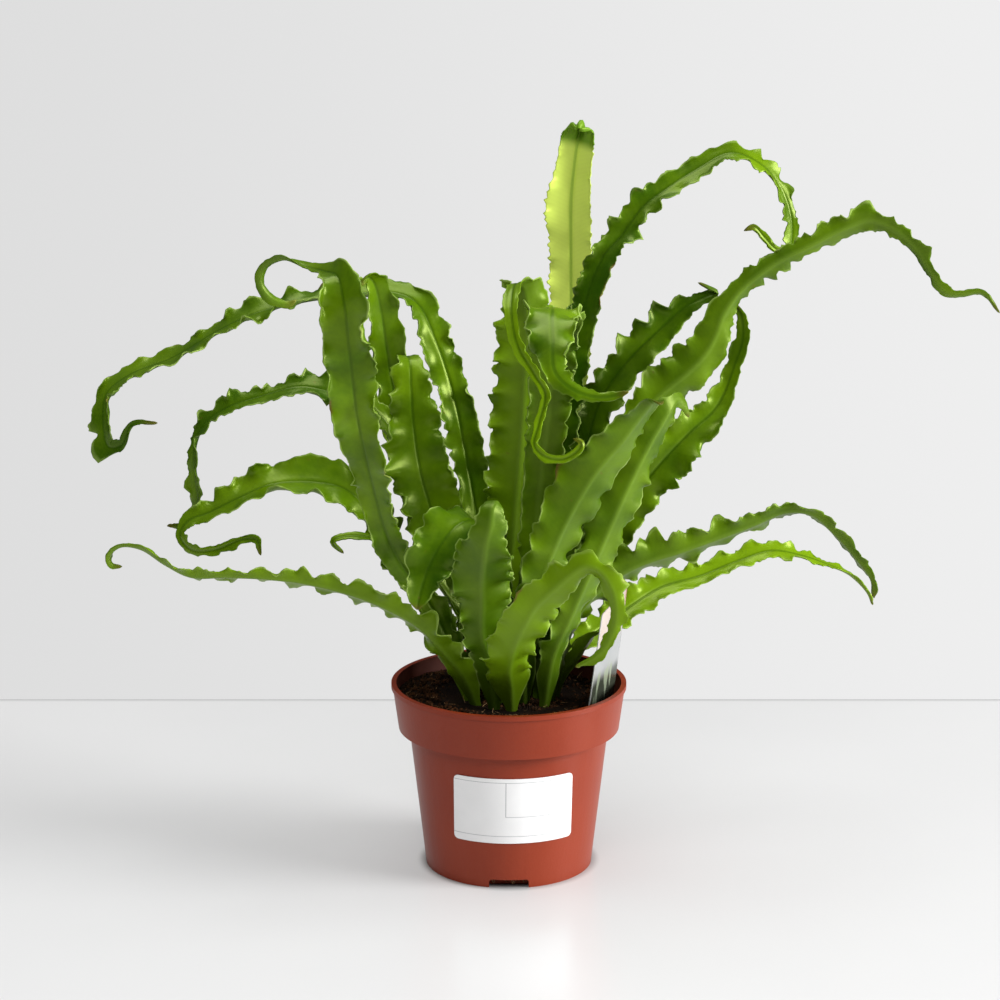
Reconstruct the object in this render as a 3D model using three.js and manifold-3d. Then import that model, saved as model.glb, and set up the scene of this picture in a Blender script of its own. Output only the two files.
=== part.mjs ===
// A fern with strap-shaped, waved fronds in a 12 cm plastic nursery pot.
// Millimetres, +Z up. The origin is the middle of the pot's flat underside.
import * as THREE from 'three';
import { mergeVertices } from 'three/addons/utils/BufferGeometryUtils.js';
import Module from 'manifold-3d';

// Pot
const RIM_RADIUS = 60;
const POT_HEIGHT = 96;
const WALL = 1.7;
const BEAD_HEIGHT = 2.6;
const BEAD_OVERHANG = 0.8;
const BEAD_WIDTH = 2.6;
const BEAD_ROUNDING = 0.8;
const COLLAR_HEIGHT = 23.4;
const COLLAR_FOOT_RADIUS = 56.4;
const COLLAR_ROUNDING = 1.5;
const COLLAR_FOOT_ROUNDING = 3.3;
const BODY_TOP_RADIUS = 51;
const BASE_RADIUS = 43.3;
const BASE_ROUNDING = 5.5;
const ROUNDING_STEPS = 4;
const FLOOR_THICKNESS = 2;
const POT_SIDES = 40;
const NOTCH_COUNT = 3;
const NOTCH_WIDTH = 20;
const NOTCH_HEIGHT = 4.5;
const NOTCH_INNER_RADIUS = 36;
const NOTCH_OVERSHOOT = 4;

// Soil and crown
const GAP = 0.3;
const SOIL_EDGE_HEIGHT = 88.2;
const SOIL_HEAP = 3;
const SOIL_HEAP_TOWARDS = 221;
const SOIL_LUMP = 0.8;
const SOIL_LUMPS_FROM = 20;
const SOIL_LUMPS_TO = 52;
const SOIL_LEVEL_RADII = [48, 40];
const SOIL_DIP = 2;
const SOIL_DIP_RADIUS = 31;
const CROWN_CENTRE = [2, -4];
const CROWN_RADIUS = 25;
const CROWN_FOOT = 70;
const CROWN_SHOULDER = 86.5;
const CROWN_TOP = 89.6;
const CROWN_BEVEL = [4, 1.5];
const STALK_HOLE_RADIUS = 3.1;
const STALK_HOLE_FOOT = 77;
const STALK_HOLE_LENGTH = 30;
const STALK_HOLE_SIDES = 8;
const CROWN_SIDES = 32;

// Fronds
const STALK_WIDTH = 4.5;
const STALK_LENGTH = 13;
const STALK_EASE = 9;
const CALM_LENGTH = 16;
const CALM_EASE = 30;
const WAVE_STEP = 8.5;
const FEWEST_WAVES = 4;
const FINE_STEPS = 8;
const SAMPLES_PER_SPAN = 40;
const WAVE_SHARE = 0.17;
const WAVE_FULL_WIDTH = 12;
const LEAST_LIFT = 0.55;
const LIFT_SPREAD = 0.75;
const TOOTH_SHARE = 0.1;
const CUP_SHARE = 0.14;
const EDGE_THICKNESS = 1.2;
const RIB_THICKNESS = 2.6;
const TIP_THICKNESS = 1.1;
const FULL_THICKNESS_WIDTH = 10;
const RIB_THINNING = 0.7;

// Sticker on the pot
const STICKER_WIDTH = 63;
const STICKER_HEIGHT = 35.3;
const STICKER_FOOT = 25.1;
const STICKER_THICKNESS = 0.5;
const STICKER_CORNER = 2.5;
const STICKER_COLUMNS = 16;
const STICKER_TURN = 3;

// Plant tag: foot corners, top corners and thickness
const TAG_FOOT_LEFT = [38.5, -20.5, 76];
const TAG_FOOT_RIGHT = [52, 1.5, 76];
const TAG_TOP_LEFT = [46.5, -20.5, 137];
const TAG_TOP_RIGHT = [60, 1.5, 146];
const TAG_THICKNESS = 0.8;

// The fronds. Each has the azimuth it leans to at its root, and stations along its midrib, root first:
// [x, y, z, blade width, roll of the blade about its midrib in degrees].
const FRONDS = {
  far_left_arch: {
    leans: 105,
    stations: [
      [-2, 7, 79, 9, 0], [-6, 12, 115, 10, 1], [-13, 18, 157, 14, 0], [-20, 23, 198, 17, 0],
      [-28, 28, 238, 19, -5], [-37, 35, 265, 18, 5], [-47, 41, 284, 16, 25], [-60, 44, 289, 16, 35],
      [-81, 43, 288, 17, 40], [-106, 40, 285, 17, 40], [-129, 38, 279, 17, 40], [-147, 36, 271, 16, 40],
      [-171, 34, 257, 16, 35], [-192, 32, 249, 16, 25], [-204, 28, 240, 16, 25], [-206, 24, 228, 14, 25],
      [-203, 20, 214, 11, 25], [-196, 16, 216, 6, 25], [-190, 14, 227, 3, 25], [-177, 12, 228, 1.5, 25],
    ],
  },
  near_left: {
    leans: 100,
    stations: [
      [-18, -8, 79, 10, 0], [-24, -12, 104, 11, 12], [-31, -17, 123, 12, 15], [-41, -24, 146, 13, 5],
      [-53, -33, 166, 14, -10], [-60, -42, 184, 15, -20], [-66, -55, 212, 18, -20],
      [-72, -68, 247, 22, -20], [-75, -78, 281, 24, -20], [-77, -82, 306, 22, -20],
      [-80, -76, 316, 16, -20], [-87, -66, 317, 9, -10], [-96, -58, 318, 7, 10], [-107, -52, 321, 6, 50],
      [-116, -48, 317, 5, 50], [-119, -46, 309, 5, 50], [-114, -45, 301, 5, 50], [-106, -44, 298, 4, 50],
      [-102, -43, 300, 1.5, 50],
    ],
  },
  thin_left: {
    leans: 105,
    stations: [
      [-8, 3, 79, 8, 0], [-16, 7, 109, 9, 10], [-28, 11, 140, 12, 16], [-40, 13, 171, 14, 25],
      [-50, 14, 198, 15, 35], [-60, 13, 225, 15, 45], [-74, 11, 240, 17, 50], [-91, 8, 245, 19, 50],
      [-105, 8, 247, 14, 50], [-125, 8, 242, 12, 50], [-140, 8, 237, 12, 50], [-153, 8, 228, 12, 50],
      [-158, 7, 216, 11, 45], [-158, 6, 202, 10, 40], [-157, 6, 188, 9, 40], [-163, 10, 176, 5, 40],
      [-174, 14, 174, 1.5, 40],
    ],
  },
  left_mid_wide: {
    leans: 110,
    stations: [
      [-18, -1, 79, 9, 0], [-24, -6, 107, 9, 14], [-35, -9, 129, 12, 20], [-51, -9, 153, 16, 26],
      [-66, -7, 181, 21, 30], [-82, -7, 198, 25, 40], [-100, -8, 202, 26, 45], [-119, -10, 201, 24, 50],
      [-136, -12, 194, 19, 50], [-150, -12, 187, 14, 50], [-160, -12, 183, 9, 50], [-164, -14, 176, 6, 50],
      [-158, -18, 170, 6, 50], [-146, -22, 171, 5, 50], [-132, -25, 177, 4, 50], [-125, -26, 177, 3, 50],
      [-123, -26, 169, 1.5, 50],
    ],
  },
  small_left_curl: {
    leans: 120,
    stations: [
      [-9, -9, 79, 6, 0], [-15, -11, 113, 6, 22], [-27, -14, 138, 8, 40], [-42, -17, 159, 9, 50],
      [-57, -20, 171, 8, 50], [-70, -22, 177, 6, 50], [-81, -24, 178, 5, 50], [-87, -25, 176, 4, 50],
      [-82, -26, 170, 2, 50],
    ],
  },
  low_left: {
    leans: 250,
    stations: [
      [-14, -16, 79, 12, 0], [-22, -22, 103, 14, -1], [-31, -28, 118, 16, -5], [-46, -36, 136, 17, -5],
      [-66, -39, 148, 15, -5], [-84, -41, 155, 14, -5], [-103, -43, 160, 13, -5], [-121, -43, 162, 12, -5],
      [-139, -44, 163, 11, -10], [-156, -44, 163, 10, -15], [-168, -44, 169, 8, -25],
      [-180, -44, 177, 6, -25], [-190, -43, 178, 5, -25], [-196, -42, 173, 4, -25],
      [-195, -41, 168, 3, -25], [-190, -40, 167, 1.5, -25],
    ],
  },
  front_left_glossy: {
    leans: 258,
    stations: [
      [-5, -14, 79, 11, 0], [-6, -18, 118, 13, -8], [-8, -23, 150, 19, -14], [-11, -27, 173, 24, -22],
      [-17, -33, 188, 27, -42], [-25, -40, 188, 28, -62], [-33, -46, 180, 27, -76],
      [-39, -49, 169, 22, -80], [-43, -52, 158, 15, -80], [-45, -54, 149, 4, -80],
    ],
  },
  front_centre: {
    leans: 266,
    stations: [
      [-7, -22, 79, 14, 0], [-9, -32, 112, 16, 0], [-13, -40, 131, 21, 0], [-13, -49, 149, 26, 0],
      [-13, -59, 166, 31, 0], [-12, -66, 178, 29, 0], [-11, -70, 187, 20, 0], [-9, -72, 195, 15, 0],
      [-8, -71, 203, 13, 0], [-6, -66, 206, 9, 0], [-5, -62, 203, 4, 0],
    ],
  },
  front_right_light: {
    leans: 282,
    stations: [
      [2, -24, 79, 18, 0], [1, -32, 101, 20, 1], [0, -43, 114, 24, 0], [2, -55, 128, 26, -8],
      [7, -64, 143, 24, -16], [13, -69, 155, 23, -22], [21, -73, 164, 18, -28], [29, -76, 172, 13, -32],
      [36, -78, 177, 10, -36], [43, -79, 175, 11, -38], [49, -80, 166, 11, -38], [51, -80, 153, 8, -34],
      [47, -78, 139, 6, -28], [41, -75, 131, 4, -20], [32, -71, 125, 1.5, -15],
    ],
  },
  small_low_right: {
    leans: 290,
    stations: [
      [22, 0, 79, 10, 0], [27, -1, 100, 12, 14], [32, -2, 107, 12, 24], [38, -4, 115, 12, 30],
      [42, -5, 121, 8, 30], [46, -5, 123, 3, 30],
    ],
  },
  right_low_upper: {
    leans: 295,
    stations: [
      [20, -7, 79, 8, 0], [25, -12, 107, 9, 11], [30, -13, 126, 11, 10], [41, -15, 144, 15, 5],
      [54, -16, 155, 20, 0], [67, -16, 162, 21, 0], [86, -15, 168, 19, 0], [106, -13, 175, 17, 0],
      [123, -11, 181, 14, 5], [138, -10, 187, 12, 5], [151, -10, 186, 11, 15], [164, -9, 175, 9, 25],
      [176, -8, 161, 7, 25], [183, -8, 151, 5, 25], [184, -8, 142, 2, 25],
    ],
  },
  right_low_lower: {
    leans: 65,
    stations: [
      [18, 8, 79, 8, 0], [24, 14, 98, 8, -1], [36, 25, 107, 12, 0], [50, 38, 114, 15, 5],
      [65, 50, 122, 16, 10], [81, 60, 129, 15, 10], [102, 68, 133, 14, 10], [121, 74, 139, 13, 10],
      [140, 78, 144, 12, 5], [156, 80, 141, 10, -5], [170, 81, 136, 8, -15], [183, 82, 130, 6, -25],
      [193, 82, 120, 4, -25], [196, 82, 113, 1.5, -25],
    ],
  },
  high_right_arch: {
    leans: 80,
    stations: [
      [2, 1, 79, 9, 0], [10, 6, 120, 10, 8], [15, 14, 162, 12, 16], [23, 20, 205, 15, 15],
      [30, 25, 244, 16, 15], [36, 30, 275, 16, 10], [41, 32, 293, 16, 0], [48, 35, 309, 16, -5],
      [58, 39, 320, 15, -15], [68, 43, 333, 14, -20], [80, 46, 342, 13, -25], [95, 50, 351, 12, -25],
      [112, 53, 359, 11, -25], [125, 52, 355, 10, -25], [135, 51, 346, 9, -25], [142, 50, 332, 9, -15],
      [144, 49, 319, 7, -5], [142, 47, 310, 5, -5], [136, 45, 311, 4, -5], [129, 44, 318, 4, -5],
      [124, 43, 323, 3, -5], [119, 42, 321, 1.2, -5],
    ],
  },
  right_long_arch: {
    leans: 290,
    stations: [
      [14, -2, 79, 10, 0], [19, 1, 117, 11, -1], [29, 4, 148, 13, -4], [42, 7, 184, 15, -5],
      [57, 10, 215, 17, -5], [74, 12, 240, 21, -5], [90, 12, 254, 25, -5], [99, 12, 264, 22, 0],
      [104, 12, 274, 17, 0], [107, 12, 283, 15, 0], [116, 12, 296, 12, 0], [132, 11, 309, 12, 0],
      [147, 10, 317, 12, 0], [164, 9, 326, 14, 0], [178, 8, 331, 13, 0], [191, 7, 326, 10, 0],
      [201, 6, 317, 9, 10], [209, 5, 305, 8, 20], [216, 4, 296, 6, 20], [224, 3, 295, 4, 20],
      [234, 2, 296, 3, 20], [243, 1, 286, 1.2, 20],
    ],
  },
  right_dark_jagged: {
    leans: 80,
    stations: [
      [10, 4, 79, 9, 0], [19, 12, 125, 10, 3], [27, 21, 165, 13, 8], [37, 28, 202, 16, 10],
      [47, 33, 235, 19, 10], [60, 37, 254, 19, 10], [75, 40, 269, 18, 5], [90, 42, 282, 11, -5],
      [100, 42, 287, 7, -15], [106, 41, 290, 4, -15], [101, 40, 293, 3, -15], [96, 39, 295, 1.2, -15],
    ],
  },
  right_hanging_tip: {
    leans: 80,
    stations: [
      [13, -9, 79, 10, 0], [20, -6, 114, 11, 1], [30, -3, 135, 13, 4], [43, -2, 160, 19, 10],
      [58, 0, 187, 24, 15], [75, 3, 208, 25, 15], [91, 8, 224, 22, 10], [103, 13, 234, 16, 0],
      [109, 17, 243, 11, -10], [114, 20, 256, 10, -20], [118, 22, 269, 9, -20], [117, 23, 281, 5, -20],
      [113, 24, 287, 2, -20],
    ],
  },
  right_rolled: {
    leans: 285,
    stations: [
      [17, -16, 79, 11, 0], [22, -24, 115, 12, 7], [30, -29, 136, 15, 7], [39, -32, 159, 20, 5],
      [49, -32, 183, 23, 5], [60, -30, 208, 22, 5], [71, -27, 229, 18, 5], [79, -24, 242, 13, 5],
      [83, -18, 246, 9, 15], [87, -14, 242, 5, 15], [89, -12, 236, 2, 15],
    ],
  },
  centre_right_diagonal: {
    leans: 280,
    stations: [
      [8, -14, 79, 12, 0], [8, -23, 115, 14, 4], [11, -34, 139, 19, 8], [18, -41, 165, 24, 10],
      [28, -46, 191, 28, 10], [41, -49, 215, 28, 10], [55, -51, 233, 24, 10], [64, -53, 246, 16, 10],
      [69, -57, 253, 9, 10], [72, -63, 253, 4, 10],
    ],
  },
  near_overhang: {
    leans: 270,
    stations: [
      [5, -8, 79, 11, 0], [8, -14, 119, 12, 0], [12, -20, 161, 15, 0], [15, -24, 201, 18, 0],
      [19, -29, 241, 21, 0], [21, -38, 277, 25, 0], [22, -52, 296, 27, 0], [20, -70, 299, 26, 0],
      [20, -87, 288, 21, 0], [21, -96, 275, 12, 0], [30, -99, 267, 7, 0], [41, -100, 264, 5, 0],
      [49, -101, 265, 4, 0], [55, -102, 267, 1.5, 0],
    ],
  },
  tall_centre: {
    leans: 270,
    stations: [
      [-3, -4, 79, 13, 0], [-2, -6, 117, 16, 0], [0, -8, 151, 24, 0], [3, -11, 188, 30, 0],
      [6, -14, 224, 33, 0], [8, -18, 260, 33, 0], [9, -22, 286, 28, 0], [7, -26, 303, 17, 0],
      [3, -36, 306, 9, 0], [1, -49, 298, 7, 0], [4, -60, 281, 6, 0], [12, -66, 268, 5, 0],
      [17, -68, 259, 4, 0], [14, -70, 245, 4, 0], [12, -72, 235, 4, 0], [17, -74, 230, 4, 0],
      [25, -75, 229, 4, 0], [32, -76, 233, 4, 0], [34, -76, 237, 3, 0], [30, -75, 239, 1.5, 0],
    ],
  },
  young_upright: {
    leans: 85,
    stations: [
      [5, 8, 79, 9, 0], [8, 16, 115, 10, 0], [13, 28, 154, 13, 0], [22, 38, 193, 16, 0],
      [29, 47, 233, 19, 0], [32, 54, 268, 20, 0], [32, 58, 304, 20, 0], [32, 59, 335, 18, 0],
      [34, 57, 358, 16, 0], [36, 53, 372, 15, 0], [36, 48, 375, 12, 0], [35, 44, 372, 6, 0],
    ],
  },
  wide_dark_left: {
    leans: 100,
    stations: [
      [-10, -2, 79, 10, 0], [-13, 0, 113, 12, 4], [-21, 2, 140, 17, 0], [-31, 0, 163, 25, -5],
      [-39, -2, 186, 32, -5], [-45, -1, 209, 32, -5], [-48, 3, 232, 26, -5], [-49, 8, 248, 20, 0],
      [-50, 15, 259, 14, 10], [-52, 22, 260, 8, 10], [-55, 28, 256, 3, 10],
    ],
  },
  tall_dark_left: {
    leans: 100,
    stations: [
      [-14, 9, 79, 9, 0], [-18, 13, 113, 11, 9], [-27, 19, 142, 14, 6], [-38, 24, 169, 19, 0],
      [-49, 28, 200, 22, 0], [-57, 30, 231, 21, 0], [-62, 30, 262, 19, 0], [-65, 28, 284, 17, 10],
      [-68, 25, 297, 12, 20], [-71, 21, 301, 7, 20], [-75, 18, 297, 3, 20],
    ],
  },
  back_left: {
    leans: 105,
    stations: [
      [-6, 14, 79, 10, 0], [-16, 24, 111, 11, 4], [-25, 38, 139, 16, 8], [-33, 54, 167, 20, 10],
      [-40, 70, 190, 20, 10], [-45, 86, 206, 17, 10], [-47, 102, 208, 13, 10], [-49, 118, 190, 9, 10],
      [-51, 128, 166, 5, 10], [-51, 130, 148, 2, 10],
    ],
  },
  back_centre: {
    leans: 88,
    stations: [
      [2, 16, 79, 10, 0], [0, 26, 110, 11, 0], [2, 42, 138, 17, 0], [4, 58, 166, 22, 0],
      [6, 76, 194, 22, 0], [8, 94, 215, 19, 0], [11, 112, 222, 15, 0], [13, 130, 210, 11, 0],
      [15, 142, 185, 7, 0], [16, 148, 155, 2, 0],
    ],
  },
  back_right: {
    leans: 70,
    stations: [
      [11, 14, 79, 10, 0], [15, 24, 111, 11, -7], [25, 38, 139, 15, -12], [35, 54, 162, 18, -15],
      [47, 70, 182, 19, -15], [59, 86, 191, 16, -15], [68, 100, 190, 12, -15], [71, 110, 181, 9, -15],
      [70, 118, 163, 5, -15], [67, 122, 147, 2, -15],
    ],
  },
};

// Surface colours
const LEAF_GREEN = 0x4f8a1f;
const YOUNG_LEAF_GREEN = 0x9bb83a;
const POT_TERRACOTTA = 0xb8553f;
const PEAT_BROWN = 0x2e2119;
const CROWN_BROWN = 0x4a3a22;
const STICKER_WHITE = 0xf4f4f2;
const TAG_CREAM = 0xe6ddd2;

const wasm = await Module();
wasm.setup();

// A repeatable number from 0 to 1 for a pair of whole numbers.
function scatter(a, b) {
  const wave = Math.sin(a * 12.9898 + b * 78.233) * 43758.5453;
  return wave - Math.floor(wave);
}

function toSolid(geometry) {
  const bare = geometry.clone();
  bare.deleteAttribute('normal');
  bare.deleteAttribute('uv');
  const merged = mergeVertices(bare, 1e-4);
  const mesh = new wasm.Mesh({
    numProp: 3,
    vertProperties: new Float32Array(merged.attributes.position.array),
    triVerts: new Uint32Array(merged.index.array),
  });
  return new wasm.Manifold(mesh);
}

function toGeometry(solid) {
  const mesh = solid.getMesh();
  const geometry = new THREE.BufferGeometry();
  geometry.setAttribute('position', new THREE.BufferAttribute(mesh.vertProperties, 3));
  geometry.setIndex(new THREE.BufferAttribute(mesh.triVerts, 1));
  return geometry;
}

// A solid of revolution about Z from [radius, height] points that start and end on the axis.
function lathe(profile, sides) {
  const points = profile.map(([radius, height]) => new THREE.Vector2(radius, height));
  return new THREE.LatheGeometry(points, sides).rotateX(Math.PI / 2);
}

function material(color, roughness) {
  return new THREE.MeshStandardMaterial({ color, roughness, metalness: 0 });
}

const COLLAR_FOOT = POT_HEIGHT - COLLAR_HEIGHT;

function bodyRadiusAt(height) {
  const rise = (height - BASE_ROUNDING) / (COLLAR_FOOT - BASE_ROUNDING);
  return BASE_RADIUS + (BODY_TOP_RADIUS - BASE_RADIUS) * rise;
}

// The radius of the collar's inner wall at a height above its inner step.
function collarInnerRadiusAt(height) {
  const foot = COLLAR_FOOT + WALL + BEAD_ROUNDING;
  const top = POT_HEIGHT - BEAD_HEIGHT;
  const spread = RIM_RADIUS - BEAD_OVERHANG - COLLAR_FOOT_RADIUS;
  return COLLAR_FOOT_RADIUS - WALL + (spread * (height - foot)) / (top - foot);
}

// The arc of a rounded bottom edge, or of the same edge on the inside.
function bottomRounding(radius, floor, rounding) {
  return Array.from({ length: ROUNDING_STEPS + 1 }, (_, i) => {
    const angle = (i / ROUNDING_STEPS) * (Math.PI / 2);
    return [
      radius - rounding + rounding * Math.sin(angle),
      floor + rounding - rounding * Math.cos(angle),
    ];
  });
}

function potShell() {
  const beadFoot = POT_HEIGHT - BEAD_HEIGHT;
  const collarTop = RIM_RADIUS - BEAD_OVERHANG;
  const innerBase = bottomRounding(BASE_RADIUS - WALL, FLOOR_THICKNESS, BASE_ROUNDING - WALL);
  const profile = [
    [0, 0],
    ...bottomRounding(BASE_RADIUS, 0, BASE_ROUNDING),
    [BODY_TOP_RADIUS, COLLAR_FOOT - COLLAR_ROUNDING],
    [BODY_TOP_RADIUS + COLLAR_ROUNDING, COLLAR_FOOT],
    ...bottomRounding(COLLAR_FOOT_RADIUS, COLLAR_FOOT, COLLAR_FOOT_ROUNDING),
    [collarTop, beadFoot],
    [RIM_RADIUS, beadFoot + BEAD_ROUNDING],
    [RIM_RADIUS, POT_HEIGHT - BEAD_ROUNDING],
    [RIM_RADIUS - BEAD_ROUNDING, POT_HEIGHT],
    [RIM_RADIUS - BEAD_WIDTH + BEAD_ROUNDING, POT_HEIGHT],
    [RIM_RADIUS - BEAD_WIDTH, POT_HEIGHT - BEAD_ROUNDING],
    [collarTop - WALL, beadFoot],
    [COLLAR_FOOT_RADIUS - WALL, COLLAR_FOOT + WALL + BEAD_ROUNDING],
    [COLLAR_FOOT_RADIUS - WALL - COLLAR_ROUNDING, COLLAR_FOOT + WALL],
    [BODY_TOP_RADIUS - WALL, COLLAR_FOOT - COLLAR_ROUNDING],
    ...innerBase.reverse(),
    [0, FLOOR_THICKNESS],
  ];
  return toSolid(lathe(profile, POT_SIDES));
}

function pot() {
  let shell = potShell();
  const notchLength = BASE_RADIUS + NOTCH_OVERSHOOT - NOTCH_INNER_RADIUS;
  for (let i = 0; i < NOTCH_COUNT; i += 1) {
    const notch = new THREE.BoxGeometry(NOTCH_WIDTH, notchLength, 2 * NOTCH_HEIGHT);
    notch.translate(0, -(NOTCH_INNER_RADIUS + notchLength / 2), 0);
    notch.rotateZ((i * 2 * Math.PI) / NOTCH_COUNT);
    shell = shell.subtract(toSolid(notch));
  }
  return toGeometry(shell);
}

function soil() {
  const innerBase = bottomRounding(
    BASE_RADIUS - WALL - GAP, FLOOR_THICKNESS + GAP, BASE_ROUNDING - WALL,
  );
  const collarInner = COLLAR_FOOT_RADIUS - WALL - GAP;
  const profile = [
    [0, FLOOR_THICKNESS + GAP],
    ...innerBase,
    [BODY_TOP_RADIUS - WALL - GAP, COLLAR_FOOT - COLLAR_ROUNDING],
    [collarInner - COLLAR_ROUNDING, COLLAR_FOOT + WALL + GAP],
    [collarInner, COLLAR_FOOT + WALL + GAP + COLLAR_ROUNDING],
    [collarInnerRadiusAt(SOIL_EDGE_HEIGHT) - GAP, SOIL_EDGE_HEIGHT],
    ...SOIL_LEVEL_RADII.map((radius) => [radius, SOIL_EDGE_HEIGHT]),
    [SOIL_DIP_RADIUS, SOIL_EDGE_HEIGHT - SOIL_DIP],
    [0, SOIL_EDGE_HEIGHT - SOIL_DIP],
  ];
  const geometry = lathe(profile, POT_SIDES);
  shapeSoilTop(geometry);
  const pocketWidth = CROWN_RADIUS + GAP;
  const pocket = lathe(
    [
      [0, CROWN_FOOT - GAP], [pocketWidth, CROWN_FOOT - GAP], [pocketWidth, POT_HEIGHT], [0, POT_HEIGHT],
    ],
    CROWN_SIDES,
  );
  pocket.translate(CROWN_CENTRE[0], CROWN_CENTRE[1], 0);
  return toGeometry(toSolid(geometry).subtract(toSolid(pocket)).subtract(toSolid(tagSlot())));
}

// Heaps the top of the soil up towards one side of the pot, keeps its rim inside the wall, and lifts and
// lowers it a little between its rim and its middle.
function shapeSoilTop(geometry) {
  const towards = THREE.MathUtils.degToRad(SOIL_HEAP_TOWARDS);
  const position = geometry.attributes.position;
  for (let i = 0; i < position.count; i += 1) {
    const x = position.getX(i);
    const y = position.getY(i);
    const z = position.getZ(i);
    const radius = Math.hypot(x, y);
    if (z > SOIL_EDGE_HEIGHT - 1) {
      const share = (x * Math.cos(towards) + y * Math.sin(towards)) / RIM_RADIUS;
      const heaped = z + SOIL_HEAP * share;
      const inner = radius > SOIL_LUMPS_FROM && radius < SOIL_LUMPS_TO;
      const lump = inner ? SOIL_LUMP * Math.sin(x * 0.41) * Math.cos(y * 0.37) : 0;
      const grow = radius > SOIL_LUMPS_TO ? (collarInnerRadiusAt(heaped) - GAP) / radius : 1;
      position.setXYZ(i, x * grow, y * grow, heaped + lump);
    }
  }
}

// The short rhizome, with a plain hole for the foot of each stalk.
function crown() {
  const profile = [
    [0, CROWN_FOOT], [CROWN_RADIUS, CROWN_FOOT], [CROWN_RADIUS, CROWN_SHOULDER],
    [CROWN_RADIUS - CROWN_BEVEL[0], CROWN_TOP - CROWN_BEVEL[1]],
    [CROWN_RADIUS / 2, CROWN_TOP], [0, CROWN_TOP],
  ];
  let solid = toSolid(lathe(profile, CROWN_SIDES).translate(CROWN_CENTRE[0], CROWN_CENTRE[1], 0));
  for (const frond of Object.values(FRONDS)) {
    solid = solid.subtract(toSolid(stalkHole(frond)));
  }
  return toGeometry(solid);
}

function stalkHole(frond) {
  const foot = new THREE.Vector3(...frond.stations[0].slice(0, 3));
  const next = new THREE.Vector3(...frond.stations[1].slice(0, 3));
  const direction = next.clone().sub(foot).normalize();
  const hole = new THREE.CylinderGeometry(
    STALK_HOLE_RADIUS, STALK_HOLE_RADIUS, STALK_HOLE_LENGTH, STALK_HOLE_SIDES,
  );
  hole.rotateX(Math.PI / 2);
  hole.applyQuaternion(new THREE.Quaternion().setFromUnitVectors(new THREE.Vector3(0, 0, 1), direction));
  const sunk = STALK_HOLE_FOOT - foot.z + STALK_HOLE_LENGTH / 2;
  const middle = foot.clone().addScaledVector(direction, sunk);
  return hole.translate(middle.x, middle.y, middle.z);
}

// Points along the midrib at even steps, with the blade's width and roll at each.
function walkMidrib(stations) {
  const points = stations.map(([x, y, z]) => new THREE.Vector3(x, y, z));
  const curve = new THREE.CatmullRomCurve3(points, false, 'centripetal');
  const spans = stations.length - 1;
  const samples = [];
  let length = 0;
  for (let i = 0; i <= spans * SAMPLES_PER_SPAN; i += 1) {
    const t = i / (spans * SAMPLES_PER_SPAN);
    const point = curve.getPoint(t);
    if (i > 0) {
      length += point.distanceTo(samples[i - 1].point);
    }
    samples.push({ point, length, along: t * spans });
  }
  const waves = Math.max(FEWEST_WAVES, Math.round(length / WAVE_STEP));
  const count = waves * FINE_STEPS;
  const walk = [];
  let j = 1;
  for (let i = 0; i <= count; i += 1) {
    const target = (length * i) / count;
    while (j < samples.length - 1 && samples[j].length < target) {
      j += 1;
    }
    const before = samples[j - 1];
    const after = samples[j];
    const share = Math.min(1, (target - before.length) / (after.length - before.length));
    const along = before.along + (after.along - before.along) * share;
    const span = Math.min(spans - 1, Math.floor(along));
    const inSpan = along - span;
    const mix = (k) => stations[span][k] + (stations[span + 1][k] - stations[span][k]) * inSpan;
    const clearOfCrown = THREE.MathUtils.smoothstep(target, STALK_LENGTH, STALK_LENGTH + STALK_EASE);
    walk.push({
      point: before.point.clone().lerp(after.point, share),
      width: STALK_WIDTH + (mix(3) - STALK_WIDTH) * clearOfCrown,
      waved: THREE.MathUtils.smoothstep(target, CALM_LENGTH, CALM_LENGTH + CALM_EASE),
      roll: THREE.MathUtils.degToRad(mix(4)),
    });
  }
  return { walk, waves };
}

// The blade's direction, its way across and its upper side at each point, carried along without twist
// and then rolled.
function bladeFrames(walk, leans) {
  const azimuth = THREE.MathUtils.degToRad(leans);
  let across = new THREE.Vector3(Math.sin(azimuth), -Math.cos(azimuth), 0);
  return walk.map(({ roll }, i) => {
    const before = walk[Math.max(0, i - 1)].point;
    const after = walk[Math.min(walk.length - 1, i + 1)].point;
    const forward = after.clone().sub(before).normalize();
    across = across.clone().addScaledVector(forward, -across.dot(forward)).normalize();
    const rolled = across.clone().applyAxisAngle(forward, roll);
    const upper = rolled.clone().cross(forward);
    return { across: rolled, upper };
  });
}

// How far each margin is waved up or down and drawn in or out at a wave, by side (0 left, 1 right).
function waveAt(seed, wave, side) {
  const sign = (wave + side) % 2 === 0 ? 1 : -1;
  const lift = sign * (LEAST_LIFT + LIFT_SPREAD * scatter(seed + 31 * side, wave));
  const reach = 1 + TOOTH_SHARE * (2 * scatter(seed + 57 * side, wave + 100) - 1);
  return { lift, reach };
}

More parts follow.
